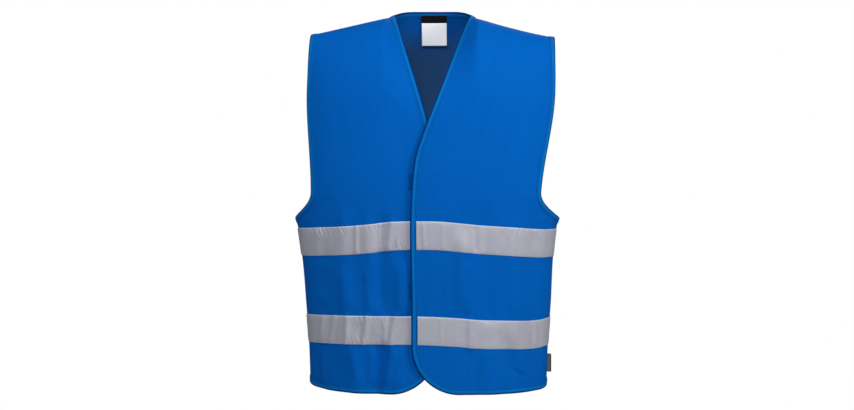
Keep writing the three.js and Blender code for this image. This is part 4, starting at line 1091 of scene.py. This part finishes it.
# Side tab
# A short length of grey-brown ribbon, folded double and caught in the left side seam near the hem.
TAB_LIFT, TAB_HEIGHT, TAB_REACH = 28.0, 33.0, 7.5
TAB_HALF, TAB_SKIN = 0.55, 0.18
TAB_BROWN, TAB_FOLD = (0.21, 0.175, 0.17), (0.055, 0.045, 0.05)
tab_cloth, tree, shader = new_material("tab_ribbon", 0.85)
_, reach, _ = uv_axes(tree)
folded = spread(tree, reach, TAB_REACH - 1.8, TAB_REACH - 0.8)
tree.links.new(blend(tree, folded, TAB_BROWN, TAB_FOLD), shader.inputs["Base Color"])
foot = TAB_LIFT - LENGTH
part = np.linspace(0, 1, 18)[:, None]
seam = np.full((18, 1), SIDE_SEAM)
root = cloth(-1, 1, seam, run_at(over_arm(seam), foot + TAB_HEIGHT * (1 - part)))[..., 0] - 0.6
tip = root[-1, 0] + TAB_REACH + 1.5
# The ribbon runs out from the seam, turns at the tip and runs back, TAB_HALF off the middle on each
# side.
turn = np.linspace(-1, 1, 33)[None, :]
out = np.minimum((1 - np.abs(turn)) / 0.85, 1)
x = root + (tip - root) * np.sin(out * np.pi / 2) ** 0.6
y = np.sign(turn) * TAB_HALF * np.minimum(1, np.abs(turn) / 0.18) ** 0.7 + 0 * root
high = foot + TAB_HEIGHT - 1.6 * np.maximum(0, (x - tip + 2.2) / 2.2) ** 2.2
z = high + (foot - high) * part
points = np.stack([x, y, z], -1)
normals = np.cross(np.gradient(points, axis=1), np.gradient(points, axis=0))
normals /= np.linalg.norm(normals, axis=-1, keepdims=True)
uv = np.stack(np.broadcast_arrays(x - root, z), -1)
made = shell("side_tab_ribbon", points, normals, -TAB_SKIN, TAB_SKIN, uv, tab_cloth)
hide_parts("side_tab")
cut_as(points)

# Stitches
# Polyester thread: two rows along each tape, one along each binding and one round each patch. Each
# stitch is a short rounded bar that dips at its ends.
binding_thread, _, _ = new_material("blue_thread", 0.6, (0.0, 0.17, 0.6))
tape_thread, _, _ = new_material("grey_thread", 0.6, (0.5, 0.53, 0.6))
BINDING_LIFT = 1.15
rows = []
for part in (part for parts in edges.values() for part in parts):
    points, normals, _ = edge_frame(*part, np.array([STITCH_LINE]))
    for up in (normals[:, 0], -normals[:, 0]):
        rows.append(stitch_row(points[:, 0] + up * BINDING_LIFT, up, EDGE_PITCH, STITCH_LENGTH, THREAD))
stitch_piece("binding_stitches", rows, binding_thread)
stitch_piece("patch_stitches", patch_stitches, binding_thread)
stitch_piece("tape_stitches", tape_stitches, tape_thread)
